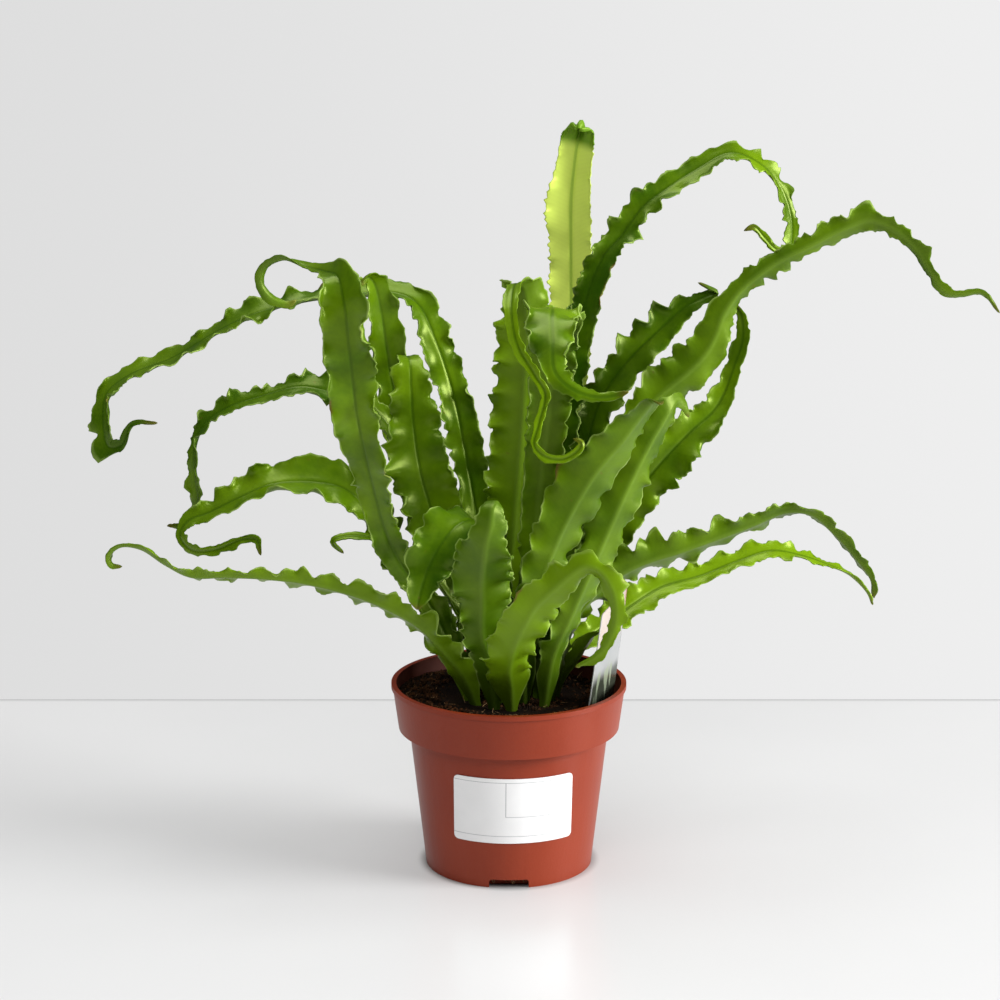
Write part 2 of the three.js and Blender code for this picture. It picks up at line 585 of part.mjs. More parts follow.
// The six points of one section: left, rib and right on the upper face, then right, rib and left below.
function section({ point, width, waved }, { across, upper }, seed, wave, share) {
  const half = width / 2;
  const ripple = width * WAVE_SHARE * waved * Math.min(1, width / WAVE_FULL_WIDTH);
  const thin = Math.min(1, width / FULL_THICKNESS_WIDTH);
  const edge = (TIP_THICKNESS + (EDGE_THICKNESS - TIP_THICKNESS) * thin) / 2;
  const stout = Math.min(thin, 1 - RIB_THINNING * share);
  const rib = (TIP_THICKNESS + (RIB_THICKNESS - TIP_THICKNESS) * stout) / 2;
  const margin = (side) => {
    const { lift, reach } = waveAt(seed, wave, side);
    const out = (side === 0 ? -half : half) * reach;
    const up = half * CUP_SHARE + lift * ripple;
    return point.clone().addScaledVector(across, out).addScaledVector(upper, up);
  };
  const left = margin(0);
  const right = margin(1);
  const lifted = (base, by) => base.clone().addScaledVector(upper, by);
  return [
    lifted(left, edge), lifted(point, edge * 0.6), lifted(right, edge),
    lifted(right, -edge), lifted(point, edge * 0.6 - 2 * rib), lifted(left, -edge),
  ];
}

// Both faces are split along the same diagonals, so that a waved blade keeps its thickness.
const BAND_TRIANGLES = [
  [0, 1, 6], [1, 7, 6], [1, 2, 8], [1, 8, 7], [2, 3, 9], [2, 9, 8],
  [3, 4, 9], [4, 10, 9], [4, 5, 11], [4, 11, 10], [5, 0, 6], [5, 6, 11],
];
const FOOT_TRIANGLES = [[0, 5, 4], [0, 4, 1], [1, 4, 3], [1, 3, 2]];
const TIP_TRIANGLES = [[0, 1, 4], [0, 4, 5], [1, 2, 3], [1, 3, 4]];

function frondBlade({ leans, stations }, seed) {
  const { walk, waves } = walkMidrib(stations);
  const frames = bladeFrames(walk, leans);
  const positions = [];
  const index = [];
  for (let wave = 0; wave <= waves; wave += 1) {
    const i = wave * FINE_STEPS;
    const corners = section(walk[i], frames[i], seed, wave, wave / waves);
    corners.forEach((corner) => positions.push(corner.x, corner.y, corner.z));
  }
  const add = (triangles, start) => {
    triangles.forEach((triangle) => index.push(...triangle.map((corner) => corner + start)));
  };
  add(FOOT_TRIANGLES, 0);
  for (let wave = 0; wave < waves; wave += 1) {
    add(BAND_TRIANGLES, wave * 6);
  }
  add(TIP_TRIANGLES, waves * 6);
  const geometry = new THREE.BufferGeometry();
  geometry.setAttribute('position', new THREE.Float32BufferAttribute(positions, 3));
  geometry.setIndex(index);
  return geometry;
}

// A closed sheet between two rows of points and the same rows set back, all running the same way.
function sheetBetween(rows) {
  const [frontLow, frontHigh, backLow, backHigh] = rows;
  const columns = frontLow.length;
  const positions = rows.flat().flatMap((point) => [point.x, point.y, point.z]);
  const at = (row, column) => row * columns + column;
  const index = [];
  const quad = (a, b, c, d) => index.push(a, b, c, a, c, d);
  for (let i = 0; i < columns - 1; i += 1) {
    quad(at(0, i), at(0, i + 1), at(1, i + 1), at(1, i));
    quad(at(2, i + 1), at(2, i), at(3, i), at(3, i + 1));
    quad(at(1, i), at(1, i + 1), at(3, i + 1), at(3, i));
    quad(at(0, i + 1), at(0, i), at(2, i), at(2, i + 1));
  }
  const last = columns - 1;
  quad(at(0, last), at(2, last), at(3, last), at(1, last));
  quad(at(2, 0), at(0, 0), at(1, 0), at(3, 0));
  const geometry = new THREE.BufferGeometry();
  geometry.setAttribute('position', new THREE.Float32BufferAttribute(positions, 3));
  geometry.setIndex(index);
  return geometry;
}

// How far the sticker's top and bottom edges draw in near its rounded ends.
function cornerInset(distanceFromEnd) {
  const into = Math.max(0, STICKER_CORNER - distanceFromEnd);
  return STICKER_CORNER - Math.sqrt(STICKER_CORNER ** 2 - into ** 2);
}

function sticker() {
  const turn = THREE.MathUtils.degToRad(STICKER_TURN - 90);
  const pointAt = (distance, height, standoff) => {
    const angle = (distance - STICKER_WIDTH / 2) / bodyRadiusAt(height) + turn;
    const radius = bodyRadiusAt(height) + standoff;
    return new THREE.Vector3(radius * Math.cos(angle), radius * Math.sin(angle), height);
  };
  const distances = Array.from({ length: STICKER_COLUMNS + 1 }, (_, i) => {
    const plain = (i / STICKER_COLUMNS) * STICKER_WIDTH;
    const nudge = STICKER_CORNER / 3;
    const atEnd = i === 0 || i === STICKER_COLUMNS;
    return atEnd ? plain : Math.min(Math.max(plain, nudge), STICKER_WIDTH - nudge);
  });
  const row = (atTop, standoff) => distances.map((distance) => {
    const inset = cornerInset(Math.min(distance, STICKER_WIDTH - distance));
    const height = atTop ? STICKER_FOOT + STICKER_HEIGHT - inset : STICKER_FOOT + inset;
    return pointAt(distance, height, standoff);
  });
  const outer = GAP + STICKER_THICKNESS;
  return sheetBetween([row(false, outer), row(true, outer), row(false, GAP), row(true, GAP)]);
}

// The tag is a flat slip with a slanting top.
function tagSlip(thickness, grow) {
  const corner = (values) => new THREE.Vector3(...values);
  const footLeft = corner(TAG_FOOT_LEFT);
  const footRight = corner(TAG_FOOT_RIGHT);
  const along = footRight.clone().sub(footLeft).normalize();
  const up = corner(TAG_TOP_LEFT).sub(footLeft).normalize();
  const facing = along.clone().cross(up).normalize();
  const shifted = (point, sideways, rise, out) => point.clone()
    .addScaledVector(along, sideways).addScaledVector(up, rise).addScaledVector(facing, out);
  const low = (out) => [shifted(footLeft, -grow, -grow, out), shifted(footRight, grow, -grow, out)];
  const high = (out) => [
    shifted(corner(TAG_TOP_LEFT), -grow, grow, out), shifted(corner(TAG_TOP_RIGHT), grow, grow, out),
  ];
  const half = thickness / 2;
  return sheetBetween([low(half), high(half), low(-half), high(-half)]);
}

function tagSlot() {
  return tagSlip(TAG_THICKNESS + 2 * GAP, GAP);
}

const group = new THREE.Group();

function addMesh(name, geometry, surface) {
  const mesh = new THREE.Mesh(geometry, surface);
  mesh.name = name;
  group.add(mesh);
}

addMesh('pot', pot(), material(POT_TERRACOTTA, 0.5));
addMesh('soil', soil(), material(PEAT_BROWN, 1));
addMesh('crown', crown(), material(CROWN_BROWN, 0.9));
Object.entries(FRONDS).forEach(([name, frond], seed) => {
  const colour = name === 'young_upright' ? YOUNG_LEAF_GREEN : LEAF_GREEN;
  addMesh(`frond_${name}`, frondBlade(frond, seed + 1), material(colour, 0.4));
});
addMesh('pot_sticker', sticker(), material(STICKER_WHITE, 0.6));
addMesh('plant_tag', tagSlip(TAG_THICKNESS, 0), material(TAG_CREAM, 0.4));

export default group;
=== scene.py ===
import math
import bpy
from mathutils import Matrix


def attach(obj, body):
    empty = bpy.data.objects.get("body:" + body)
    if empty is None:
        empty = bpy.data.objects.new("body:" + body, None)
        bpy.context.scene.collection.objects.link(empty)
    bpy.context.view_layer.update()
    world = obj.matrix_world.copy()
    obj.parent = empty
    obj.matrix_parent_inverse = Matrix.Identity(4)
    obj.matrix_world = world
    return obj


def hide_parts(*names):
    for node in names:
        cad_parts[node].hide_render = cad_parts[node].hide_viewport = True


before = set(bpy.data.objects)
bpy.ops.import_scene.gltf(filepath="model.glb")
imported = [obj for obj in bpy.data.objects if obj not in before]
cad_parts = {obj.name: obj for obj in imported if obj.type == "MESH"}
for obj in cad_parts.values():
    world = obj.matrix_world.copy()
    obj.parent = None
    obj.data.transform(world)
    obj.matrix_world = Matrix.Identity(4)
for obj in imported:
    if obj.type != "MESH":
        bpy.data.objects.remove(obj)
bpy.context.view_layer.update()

from types import SimpleNamespace

import bmesh
import bpy
import numpy as np
from mathutils import Vector

# The pot is one injection moulding in terracotta-coloured polypropylene: a deep collar with a bead round its
# rim, a step beneath it, a tapered body and a rounded foot. Three drain notches are cut through its foot, so
# that water can run out when it stands on a flat sill.
MM = 0.001
SAME_PLACE = 0.02 * MM
ROUNDING_STEPS = 4
POT_SIDES = 128
POT_RINGS = [
    # radius, height, rounding
    (42.7, 0, 5.5), (51, 72.6, 1.2), (56.4, 72.6, 3.3), (59.2, 93.4, 0.3), (60, 93.6, 0.6),
    (60, 96, 0.8), (57.4, 96, 0.8), (57.4, 93.6, 0.5), (54.7, 74.3, 2), (49.3, 74.3, 1.2),
    (41, 2, 3.8),
]
INNER_SIDE_WITHIN = 57.5
INNER_SIDE_ABOVE = 3
NOTCH_COUNT = 3
NOTCH_SIZE = (20, 14, 9)
NOTCH_MIDDLE = 43
NOTCH_ROUNDING = 1.6


def deselect_all():
    bpy.ops.object.select_all(action="DESELECT")


def pick(piece):
    """Selects one piece alone and makes it the active one."""
    deselect_all()
    piece.select_set(True)
    bpy.context.view_layer.objects.active = piece


def begin_piece(name):
    """Names the primitive that was just added and opens it in edit mode."""
    piece = bpy.context.object
    piece.name = name
    piece.data.name = name
    bpy.ops.object.mode_set(mode="EDIT")
    return piece


def end_edit():
    bpy.ops.mesh.select_all(action="SELECT")
    bpy.ops.mesh.normals_make_consistent(inside=False)
    bpy.ops.object.mode_set(mode="OBJECT")


def settle(piece):
    """Puts a finished piece's place into its mesh."""
    pick(piece)
    bpy.ops.object.transform_apply(location=True, rotation=True, scale=True)


def smooth(piece, degrees=35):
    pick(piece)
    bpy.ops.object.shade_smooth_by_angle(angle=math.radians(degrees))


def apply_modifier(piece, kind, **settings):
    modifier = piece.modifiers.new(kind.title(), kind)
    for name, value in settings.items():
        setattr(modifier, name, value)
    bpy.context.view_layer.objects.active = piece
    bpy.ops.object.modifier_apply(modifier=modifier.name)


def select_where(piece, kind, wanted, flush=False):
    """Selects, in edit mode, the verts, edges or faces that pass a test."""
    bpy.ops.mesh.select_all(action="DESELECT")
    mesh = bmesh.from_edit_mesh(piece.data)
    for part in getattr(mesh, kind):
        part.select = wanted(part)
    if flush:
        mesh.select_flush_mode()
    bmesh.update_edit_mesh(piece.data)


def round_ring(piece, radius, height, rounding):
    """Bevels the edges of one ring of a turned shape, found by their place."""
    def on_ring(point):
        return abs(math.hypot(point.x, point.y) - radius) < SAME_PLACE and abs(point.z - height) < SAME_PLACE

    select_where(piece, "edges", lambda edge: all(on_ring(vert.co) for vert in edge.verts), flush=True)
    bpy.ops.mesh.bevel(offset=rounding, segments=ROUNDING_STEPS, affect="EDGES", profile=0.5)


def turn_rings(name, rings, sides):
    """Extrudes a circle from ring to ring, then rounds the rings that have a rounding."""
    first = rings[0]
    deselect_all()
    bpy.ops.mesh.primitive_circle_add(
        vertices=sides, radius=first[0] * MM, fill_type="NGON", location=(0, 0, first[1] * MM),
    )
    settle(bpy.context.object)
    piece = begin_piece(name)
    bpy.ops.mesh.select_all(action="SELECT")
    for (radius, height, _), (next_radius, next_height, _) in zip(rings, rings[1:]):
        bpy.ops.mesh.extrude_region_move(
            TRANSFORM_OT_translate={"value": (0, 0, (next_height - height) * MM)},
        )
        grow = next_radius / radius
        bpy.ops.transform.resize(value=(grow, grow, 1), center_override=(0, 0, next_height * MM))
    for radius, height, rounding in rings:
        if rounding:
            round_ring(piece, radius * MM, height * MM, rounding * MM)
    end_edit()
    return piece


def is_notch_shoulder(edge):
    """Whether an edge of the cutter lies on its top and runs from front to back."""
    start, end = (vert.co for vert in edge.verts)
    return start.z > 0 and end.z > 0 and abs(start.x - end.x) < SAME_PLACE


def cut_notches(piece):
    for number in range(NOTCH_COUNT):
        deselect_all()
        bpy.ops.mesh.primitive_cube_add(size=1, location=(0, -NOTCH_MIDDLE * MM, 0))
        cutter = begin_piece("notch_cutter")
        bpy.ops.transform.resize(value=tuple(side * MM for side in NOTCH_SIZE))
        select_where(cutter, "edges", is_notch_shoulder)
        bpy.ops.mesh.bevel(offset=NOTCH_ROUNDING * MM, segments=ROUNDING_STEPS, affect="EDGES")
        end_edit()
        turn = number * 2 * math.pi / NOTCH_COUNT
        cutter.rotation_euler.z = turn
        cutter.location = (math.sin(turn) * NOTCH_MIDDLE * MM, -math.cos(turn) * NOTCH_MIDDLE * MM, 0)
        settle(cutter)
        apply_modifier(piece, "BOOLEAN", object=cutter, operation="DIFFERENCE", solver="EXACT")
        bpy.data.objects.remove(cutter)


def inner_faces_to(piece, slot, radius, height):
    """Gives the faces that look inwards from a wall, within a radius and above a height, another material
    slot.
    """
    for face in piece.data.polygons:
        middle = face.center
        outward = face.normal.x * middle.x + face.normal.y * middle.y
        if math.hypot(middle.x, middle.y) < radius and outward < -1e-5 and middle.z > height:
            face.material_index = slot


def set_input(tree, socket, value):
    """Joins an input to another node's output, or gives it a value. A colour is red, green and blue."""
    if isinstance(value, bpy.types.NodeSocket):
        tree.links.new(value, socket)
    elif socket.type == "RGBA":
        socket.default_value = (*value, 1)
    else:
        socket.default_value = value


def set_inputs(tree, node, **values):
    """Sets or joins a node's inputs, each named with underscores for spaces."""
    for name, value in values.items():
        set_input(tree, node.inputs[name.replace("_", " ")], value)


def add_node(tree, kind, inputs=None, **settings):
    """Adds a node with its settings, and sets or joins its inputs, each given by name or number."""
    made = tree.nodes.new(kind)
    for name, value in settings.items():
        setattr(made, name, value)
    for name, value in (inputs or {}).items():
        set_input(tree, made.inputs[name], value)
    return made


def arithmetic(tree, operation, *values):
    """Adds a Math node on up to three values or outputs."""
    return add_node(tree, "ShaderNodeMath", dict(enumerate(values)), operation=operation).outputs[0]


def plus(tree, first, second):
    return arithmetic(tree, "ADD", first, second)


def times(tree, product, *others):
    for other in others:
        product = arithmetic(tree, "MULTIPLY", product, other)
    return product


def scaled(tree, value, scale, start):
    """The value times a scale, counted up from a start."""
    return arithmetic(tree, "MULTIPLY_ADD", value, scale, start)


def blend_colours(tree, factor, first, second, mode="MIX"):
    inputs = {0: factor, 6: first, 7: second}
    return add_node(tree, "ShaderNodeMix", inputs, data_type="RGBA", blend_type=mode).outputs[2]


def shaded(tree, colour, shade):
    return blend_colours(tree, 1.0, colour, shade, "MULTIPLY")


def step_between(tree, value, start, end):
    """A smooth rise from 0 where the value is at start to 1 where it is at end."""
    inputs = {"Value": value, "From Min": start, "From Max": end, "To Min": 0, "To Max": 1}
    return add_node(tree, "ShaderNodeMapRange", inputs, interpolation_type="SMOOTHSTEP").outputs[0]


def noise(tree, place, scale, detail=3):
    inputs = {"Vector": place, "Scale": scale, "Detail": detail, "Roughness": 0.5}
    return add_node(tree, "ShaderNodeTexNoise", inputs).outputs["Fac"]


def object_place(tree):
    return add_node(tree, "ShaderNodeTexCoord").outputs["Object"]


def split(tree, vector):
    """The three parts of a vector."""
    return add_node(tree, "ShaderNodeSeparateXYZ", {0: vector}).outputs


def start_group(name, inputs, outputs):
    tree = bpy.data.node_groups.new(name, "ShaderNodeTree")
    for in_out, sockets in (("INPUT", inputs), ("OUTPUT", outputs)):
        for socket, kind in sockets.items():
            tree.interface.new_socket(socket, in_out=in_out, socket_type=f"NodeSocket{kind}")
    given = tree.nodes.new("NodeGroupInput").outputs
    result = tree.nodes.new("NodeGroupOutput")
    return tree, given, result


def start_material(name, **shader_values):
    made = bpy.data.materials.new(name)
    made.use_nodes = True
    tree = made.node_tree
    shader = tree.nodes["Principled BSDF"]
    set_inputs(tree, shader, **shader_values)
    return made, tree, shader


def add_bump(tree, shader, height, distance, strength=1.0):
    inputs = {"Height": height, "Distance": distance, "Strength": strength}
    set_inputs(tree, shader, Normal=add_node(tree, "ShaderNodeBump", inputs).outputs[0])


def grained_colour_group():
    """Two colours in soft patches, with a fine speckle over them, and the height of that speckle."""
    tree, given, result = start_group(
        "grained_colour",
        {"First": "Color", "Second": "Color",
         "Patch Scale": "Float", "Grain Scale": "Float", "Grain Depth": "Float"},
        {"Colour": "Color", "Patch": "Float", "Grain": "Float"},
    )
    place = object_place(tree)
    patch = step_between(tree, noise(tree, place, given["Patch Scale"], 4), 0.3, 0.7)
    grain = noise(tree, place, given["Grain Scale"], 2)
    mixed = blend_colours(tree, patch, given["First"], given["Second"])
    speckle = times(tree, given["Grain Depth"], arithmetic(tree, "SUBTRACT", grain, 0.5))
    set_inputs(tree, result, Colour=shaded(tree, mixed, plus(tree, 1, speckle)), Patch=patch, Grain=grain)
    return tree


grained_colour = grained_colour_group()


def grained(tree, first, second, patch_scale, grain_scale, grain_depth):
    """The colour, the patches and the grain of the shared node group, with a material's own values."""
    inputs = {
        "First": first, "Second": second, "Patch Scale": patch_scale, "Grain Scale": grain_scale,
        "Grain Depth": grain_depth,
    }
    return add_node(tree, "ShaderNodeGroup", inputs, node_tree=grained_colour).outputs


def moulded_plastic(name, first, second, gloss):
    """Moulded plastic, with faint upright flow marks from the mould."""
    made, tree, shader = start_material(name, Specular_IOR_Level=0.25)
    colour, patch, grain = grained(tree, first, second, 14, 900, 0.08)
    stretched = add_node(tree, "ShaderNodeMapping", {"Vector": object_place(tree), "Scale": (1, 1, 0.06)})
    flow = noise(tree, stretched.outputs[0], 160, 2)
    streaked = blend_colours(tree, times(tree, flow, 0.05), colour, (0.50, 0.14, 0.08))
    set_inputs(tree, shader, Base_Color=streaked, Roughness=plus(tree, gloss, times(tree, patch, 0.08)))
    add_bump(tree, shader, plus(tree, grain, times(tree, flow, 1.5)), 0.0001, 0.6)
    return made


pot = turn_rings("pot_shell", POT_RINGS, POT_SIDES)
cut_notches(pot)
smooth(pot)
pot.data.materials.append(
    moulded_plastic("terracotta_plastic", (0.238, 0.028, 0.008), (0.278, 0.037, 0.012), 0.34)
)
# The inside of the wall gets a darker, duller copy of the terracotta: painted shade inside the pot.
pot.data.materials.append(
    moulded_plastic("inner_wall_painted_shade", (0.070, 0.014, 0.007), (0.105, 0.022, 0.011), 0.5)
)
inner_faces_to(pot, 1, INNER_SIDE_WITHIN * MM, INNER_SIDE_ABOVE * MM)
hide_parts("pot")
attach(pot, "root")


# The pot is filled with dark peat to a few millimetres below its rim, heaped higher at the front left and
# hollow round the crown. The peat is pressed in, lumpy on top, and carries loose crumbs and plant fibres. A
# few root tips grow out into the drain notches.
SOIL_RINGS = [
    (56.4, 88.2, 0), (54.4, 75, 0), (52.9, 73.5, 0), (48.7, 73.5, 0), (48.6, 70, 0), (41.3, 6, 0),
    (37.8, 2.3, 0),
]
SOIL_RADIUS, SOIL_EDGE_HEIGHT, _ = SOIL_RINGS[0]
SOIL_SIDES = 96
SOIL_TOP_ABOVE = 80
SOIL_GAP = 0.4
SOIL_HEAP = 3
SOIL_HEAP_TOWARDS = math.radians(221)
SOIL_DIP = 2
DIP_RADIUS = 40
DIP_SLOPE = 9
INSET_COUNT = 22
INSET_STEP = 2.4
LUMP_FADE = 6
HEAPED_SHARE = 0.28
CRUMB_COUNT = 2300
CRUMB_SIZES = (0.35, 1.25)
CRUMB_RADIUS = 55.6
FIBRE_COUNT = 90
FIBRE_LENGTHS = (1.5, 5.5)
FIBRE_WIDTHS = (0.08, 0.2)
FIBRE_REACH = 55.5
THREAD_STEPS = 7
THREAD_SIDES = 3
THREAD_TAPER = 0.6
ROOTS_PER_NOTCH = 9
ROOT_SPREAD = 8.5
ROOT_RADII = (38.8, 40.6)
ROOT_HEIGHT = 4.3
ROOT_LENGTHS = (1.6, 3.4)
ROOT_WIDTH = 0.28
CROWN_PLACE = (2, -4)
CROWN_RADIUS = 24
CROWN_TOP = 89.4
CROWN_FALL = 2.4
luck = np.random.default_rng(12)


def soil_height(x, y):
    """The height of the peat's top at a point, all in millimetres."""
    towards = x * math.cos(SOIL_HEAP_TOWARDS) + y * math.sin(SOIL_HEAP_TOWARDS)
    hollow = min(1, max(0, (DIP_RADIUS - math.hypot(x, y)) / DIP_SLOPE))
    return SOIL_EDGE_HEIGHT + SOIL_HEAP * towards / POT_RINGS[4][0] - SOIL_DIP * hollow


def collar_inner_radius(height):
    upper, lower = POT_RINGS[7:9]
    return lower[0] + (upper[0] - lower[0]) * (height - lower[1]) / (upper[1] - lower[1])


def lumpy_place(point):
    """Where a point of the flat top goes, so that the peat is heaped and lumpy but still meets the wall."""
    x = point.x / MM
    y = point.y / MM
    radius = math.hypot(x, y)
    lump = 0.8 * math.sin(x * 0.41) * math.cos(y * 0.37)
    small = 0.7 * math.sin(x * 1.31 + 2) * math.sin(y * 1.17 + 1)
    tiny = luck.uniform(-0.45, 0.45)
    hold = max(0, min(1, (SOIL_RADIUS - radius) / LUMP_FADE))
    height = soil_height(x, y) + (lump + small + tiny) * hold
    at_wall = radius > SOIL_RADIUS - SOIL_GAP
    grow = (collar_inner_radius(height) - SOIL_GAP) / radius if at_wall else 1
    return Vector((x * grow, y * grow, height)) * MM


def peat_bed():
    """The bed is turned upside down from its top ring, then its top is cut into rings and made lumpy."""
    piece = turn_rings("soil_bed", SOIL_RINGS, SOIL_SIDES)
    bpy.ops.object.mode_set(mode="EDIT")
    above = SOIL_TOP_ABOVE * MM
    select_where(piece, "faces", lambda face: len(face.verts) > 4 and face.calc_center_median().z > above)
    for _ in range(INSET_COUNT):
        bpy.ops.mesh.inset(thickness=INSET_STEP * MM)
    bpy.ops.mesh.poke()
    bpy.ops.mesh.select_all(action="DESELECT")
    mesh = bmesh.from_edit_mesh(piece.data)
    for vert in mesh.verts:
        if vert.co.z > above:
            vert.co = lumpy_place(vert.co)
    end_edit()
    return piece


def squashed_shape(size):
    """Resizes the primitive that was just added, and takes its points and faces as a pattern."""
    shape = bpy.context.object
    bpy.ops.object.mode_set(mode="EDIT")
    bpy.ops.mesh.select_all(action="SELECT")
    bpy.ops.transform.resize(value=size)
    bpy.ops.object.mode_set(mode="OBJECT")
    points = np.array([vert.co[:] for vert in shape.data.vertices])
    faces = [tuple(face.vertices) for face in shape.data.polygons]
    bpy.data.objects.remove(shape)
    return points, faces


def crumb_shape():
    """One crumb: a small squashed lump of twenty faces."""
    deselect_all()
    bpy.ops.mesh.primitive_ico_sphere_add(subdivisions=1, radius=1)
    return squashed_shape((1, 0.8, 0.62))


def joined(name, parts):
    """One mesh of many small parts, each given as its points and faces."""
    all_points = []
    all_faces = []
    for points, faces in parts:
        start = len(all_points)
        all_points.extend(tuple(point) for point in points)
        all_faces.extend(tuple(corner + start for corner in face) for face in faces)
    mesh = bpy.data.meshes.new(name)
    mesh.from_pydata(all_points, [], all_faces)
    mesh.update()
    piece = bpy.data.objects.new(name, mesh)
    bpy.context.collection.objects.link(piece)
    return piece


def scattered_copies(name, shape, places):
    """One mesh of uneven copies of a shape. Each place gives a point, a size and a turn."""
    points, faces = shape
    copies = []
    for middle, size, turn in places:
        jitter = 1 + luck.uniform(-0.22, 0.22, (len(points), 1))
        copies.append(((points * jitter * size) @ turn.T + middle, faces))
    return joined(name, copies)


def random_turn():
    """A random turn in space, as a three by three matrix."""
    matrix, _ = np.linalg.qr(luck.normal(size=(3, 3)))
    return matrix * np.sign(np.linalg.det(matrix))


def crown_height(x, y):
    """The height of the crown's mound at a point, all in millimetres."""
    out = math.hypot(x - CROWN_PLACE[0], y - CROWN_PLACE[1]) / CROWN_RADIUS
    return CROWN_TOP - CROWN_FALL * out ** 3


def place_on_soil():
    """A random point on the peat or the crown, more often near the wall and where the peat is heaped."""
    while True:
        radius = CRUMB_RADIUS * math.sqrt(luck.uniform(0.02, 1))
        angle = luck.uniform(0, 2 * math.pi)
        if luck.uniform() > 1 - HEAPED_SHARE + HEAPED_SHARE * math.cos(angle - SOIL_HEAP_TOWARDS):
            continue
        x = radius * math.cos(angle)
        y = radius * math.sin(angle)
        return x * MM, y * MM, max(soil_height(x, y), crown_height(x, y)) * MM


def loose_crumbs():
    places = []
    for _ in range(CRUMB_COUNT):
        x, y, z = place_on_soil()
        size = luck.uniform(*CRUMB_SIZES) ** 1.3 * MM
        places.append((np.array([x, y, z + size * 0.3]), size, random_turn()))
    return scattered_copies("soil_crumbs", crumb_shape(), places)


def unit(vector):
    return vector / max(np.linalg.norm(vector), 1e-6)


def thin_thread(start, heading, length, width, bends):
    """Points and faces of one three-sided thread that wanders as it goes."""
    point = np.array(start)
    forward = np.array(heading, float)
    points = []
    faces = []
    for step in range(THREAD_STEPS):
        side = unit(np.cross(forward, (0, 0, 1.0)))
        up = np.cross(side, forward)
        taper = width * (1 - THREAD_TAPER * step / THREAD_STEPS)
        for corner in range(THREAD_SIDES):
            angle = corner * 2 * math.pi / THREAD_SIDES
            points.append(point + taper * (math.cos(angle) * side + math.sin(angle) * up))
        if step:
            base = THREAD_SIDES * (step - 1)
            above = base + THREAD_SIDES
            for corner in range(THREAD_SIDES):
                after = (corner + 1) % THREAD_SIDES
                faces.append((base + corner, base + after, above + after, above + corner))
        forward = unit(forward + bends * luck.normal(size=3))
        point = point + forward * length / (THREAD_STEPS - 1)
    last = THREAD_SIDES * (THREAD_STEPS - 1)
    faces.append(tuple(reversed(range(THREAD_SIDES))))
    faces.append(tuple(last + corner for corner in range(THREAD_SIDES)))
    return points, faces


def loose_fibres():
    threads = []
    for _ in range(FIBRE_COUNT):
        x, y, z = place_on_soil()
        heading = unit(np.array([luck.normal(), luck.normal(), 0.12 * luck.normal()]))
        length = luck.uniform(*FIBRE_LENGTHS) * MM
        width = luck.uniform(*FIBRE_WIDTHS) * MM
        if math.hypot(x + heading[0] * length, y + heading[1] * length) > FIBRE_REACH * MM:
            heading[:2] = -heading[:2]
        threads.append(thin_thread((x, y, z + 1.0 * MM), heading, length, width, 0.25))
    return joined("soil_fibres", threads)


def notch_roots():
    """Short root tips that hang out of the peat into each drain notch."""
    threads = []
    for number in range(NOTCH_COUNT * ROOTS_PER_NOTCH):
        turn = (number // ROOTS_PER_NOTCH) * 2 * math.pi / NOTCH_COUNT
        sideways = np.array([math.cos(turn), math.sin(turn), 0])
        outwards = np.array([math.sin(turn), -math.cos(turn), 0])
        beside = luck.uniform(-ROOT_SPREAD, ROOT_SPREAD)
        start = (beside * sideways + luck.uniform(*ROOT_RADII) * outwards) * MM
        start[2] = ROOT_HEIGHT * MM
        heading = unit(0.5 * luck.normal() * sideways + 0.25 * outwards - np.array([0, 0, 1]))
        threads.append(thin_thread(start, heading, luck.uniform(*ROOT_LENGTHS) * MM, ROOT_WIDTH * MM, 0.12))
    return joined("notch_root_tips", threads)


def earthy(name, first, second, shine, rough, scales):
    """A dull speckled matter, rougher on its grains. It also gives the grain, for a bump."""
    made, tree, shader = start_material(name, Specular_IOR_Level=shine)
    colour, _, grain = grained(tree, first, second, *scales)
    set_inputs(tree, shader, Base_Color=colour, Roughness=plus(tree, rough, times(tree, grain, 0.2)))
    return made, tree, shader, grain


def peat(name, first, second, depth):
    made, tree, shader, grain = earthy(name, first, second, 0.08, 0.8, (120, 1500, 0.8))
    add_bump(tree, shader, grain, depth)
    return made


soil = peat_bed()
soil.data.materials.append(peat("dark_peat", (0.005, 0.0027, 0.0014), (0.016, 0.0082, 0.0042), 0.0012))
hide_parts("soil")
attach(soil, "root")
crumbs = loose_crumbs()
crumbs.data.materials.append(peat("peat_crumb", (0.007, 0.0036, 0.0018), (0.060, 0.024, 0.009), 0.0004))
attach(crumbs, "root")
pale_fibre = earthy("pale_fibre", (0.10, 0.052, 0.022), (0.30, 0.18, 0.08), 0.3, 0.6, (160, 2200, 0.4))[0]
for threads in (loose_fibres(), notch_roots()):
    threads.data.materials.append(pale_fibre)
    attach(threads, "root")


# The crown is the fern's short rhizome. It sits in the middle of the peat, a low dark mound covered in brown
# papery scales, and every frond grows out of it.
CROWN_RINGS = [
    (24.8, 71, 0), (25, 85.6, 0), (23, 87.4, 0), (18, 88.6, 0), (11, 89.4, 0), (4, 89.6, 0),
]
CROWN_SIDES = 48
CROWN_UNEVENNESS = 0.25
SCALE_COUNT = 420
SCALE_LEANS = (10, 75)
SCALE_SIZES = (0.8, 1.9)
SCALE_BEND = 0.25


def uneven_place(point):
    """Where a point of the mound goes. Waves of its own place move it, so that every run is alike."""
    x, y, z = point / MM
    waves = (math.sin(3.1 * y + 2.3 * z), math.sin(2.7 * z + 3.7 * x), math.sin(3.3 * x + 2.9 * y))
    return point + Vector(waves) * CROWN_UNEVENNESS * MM


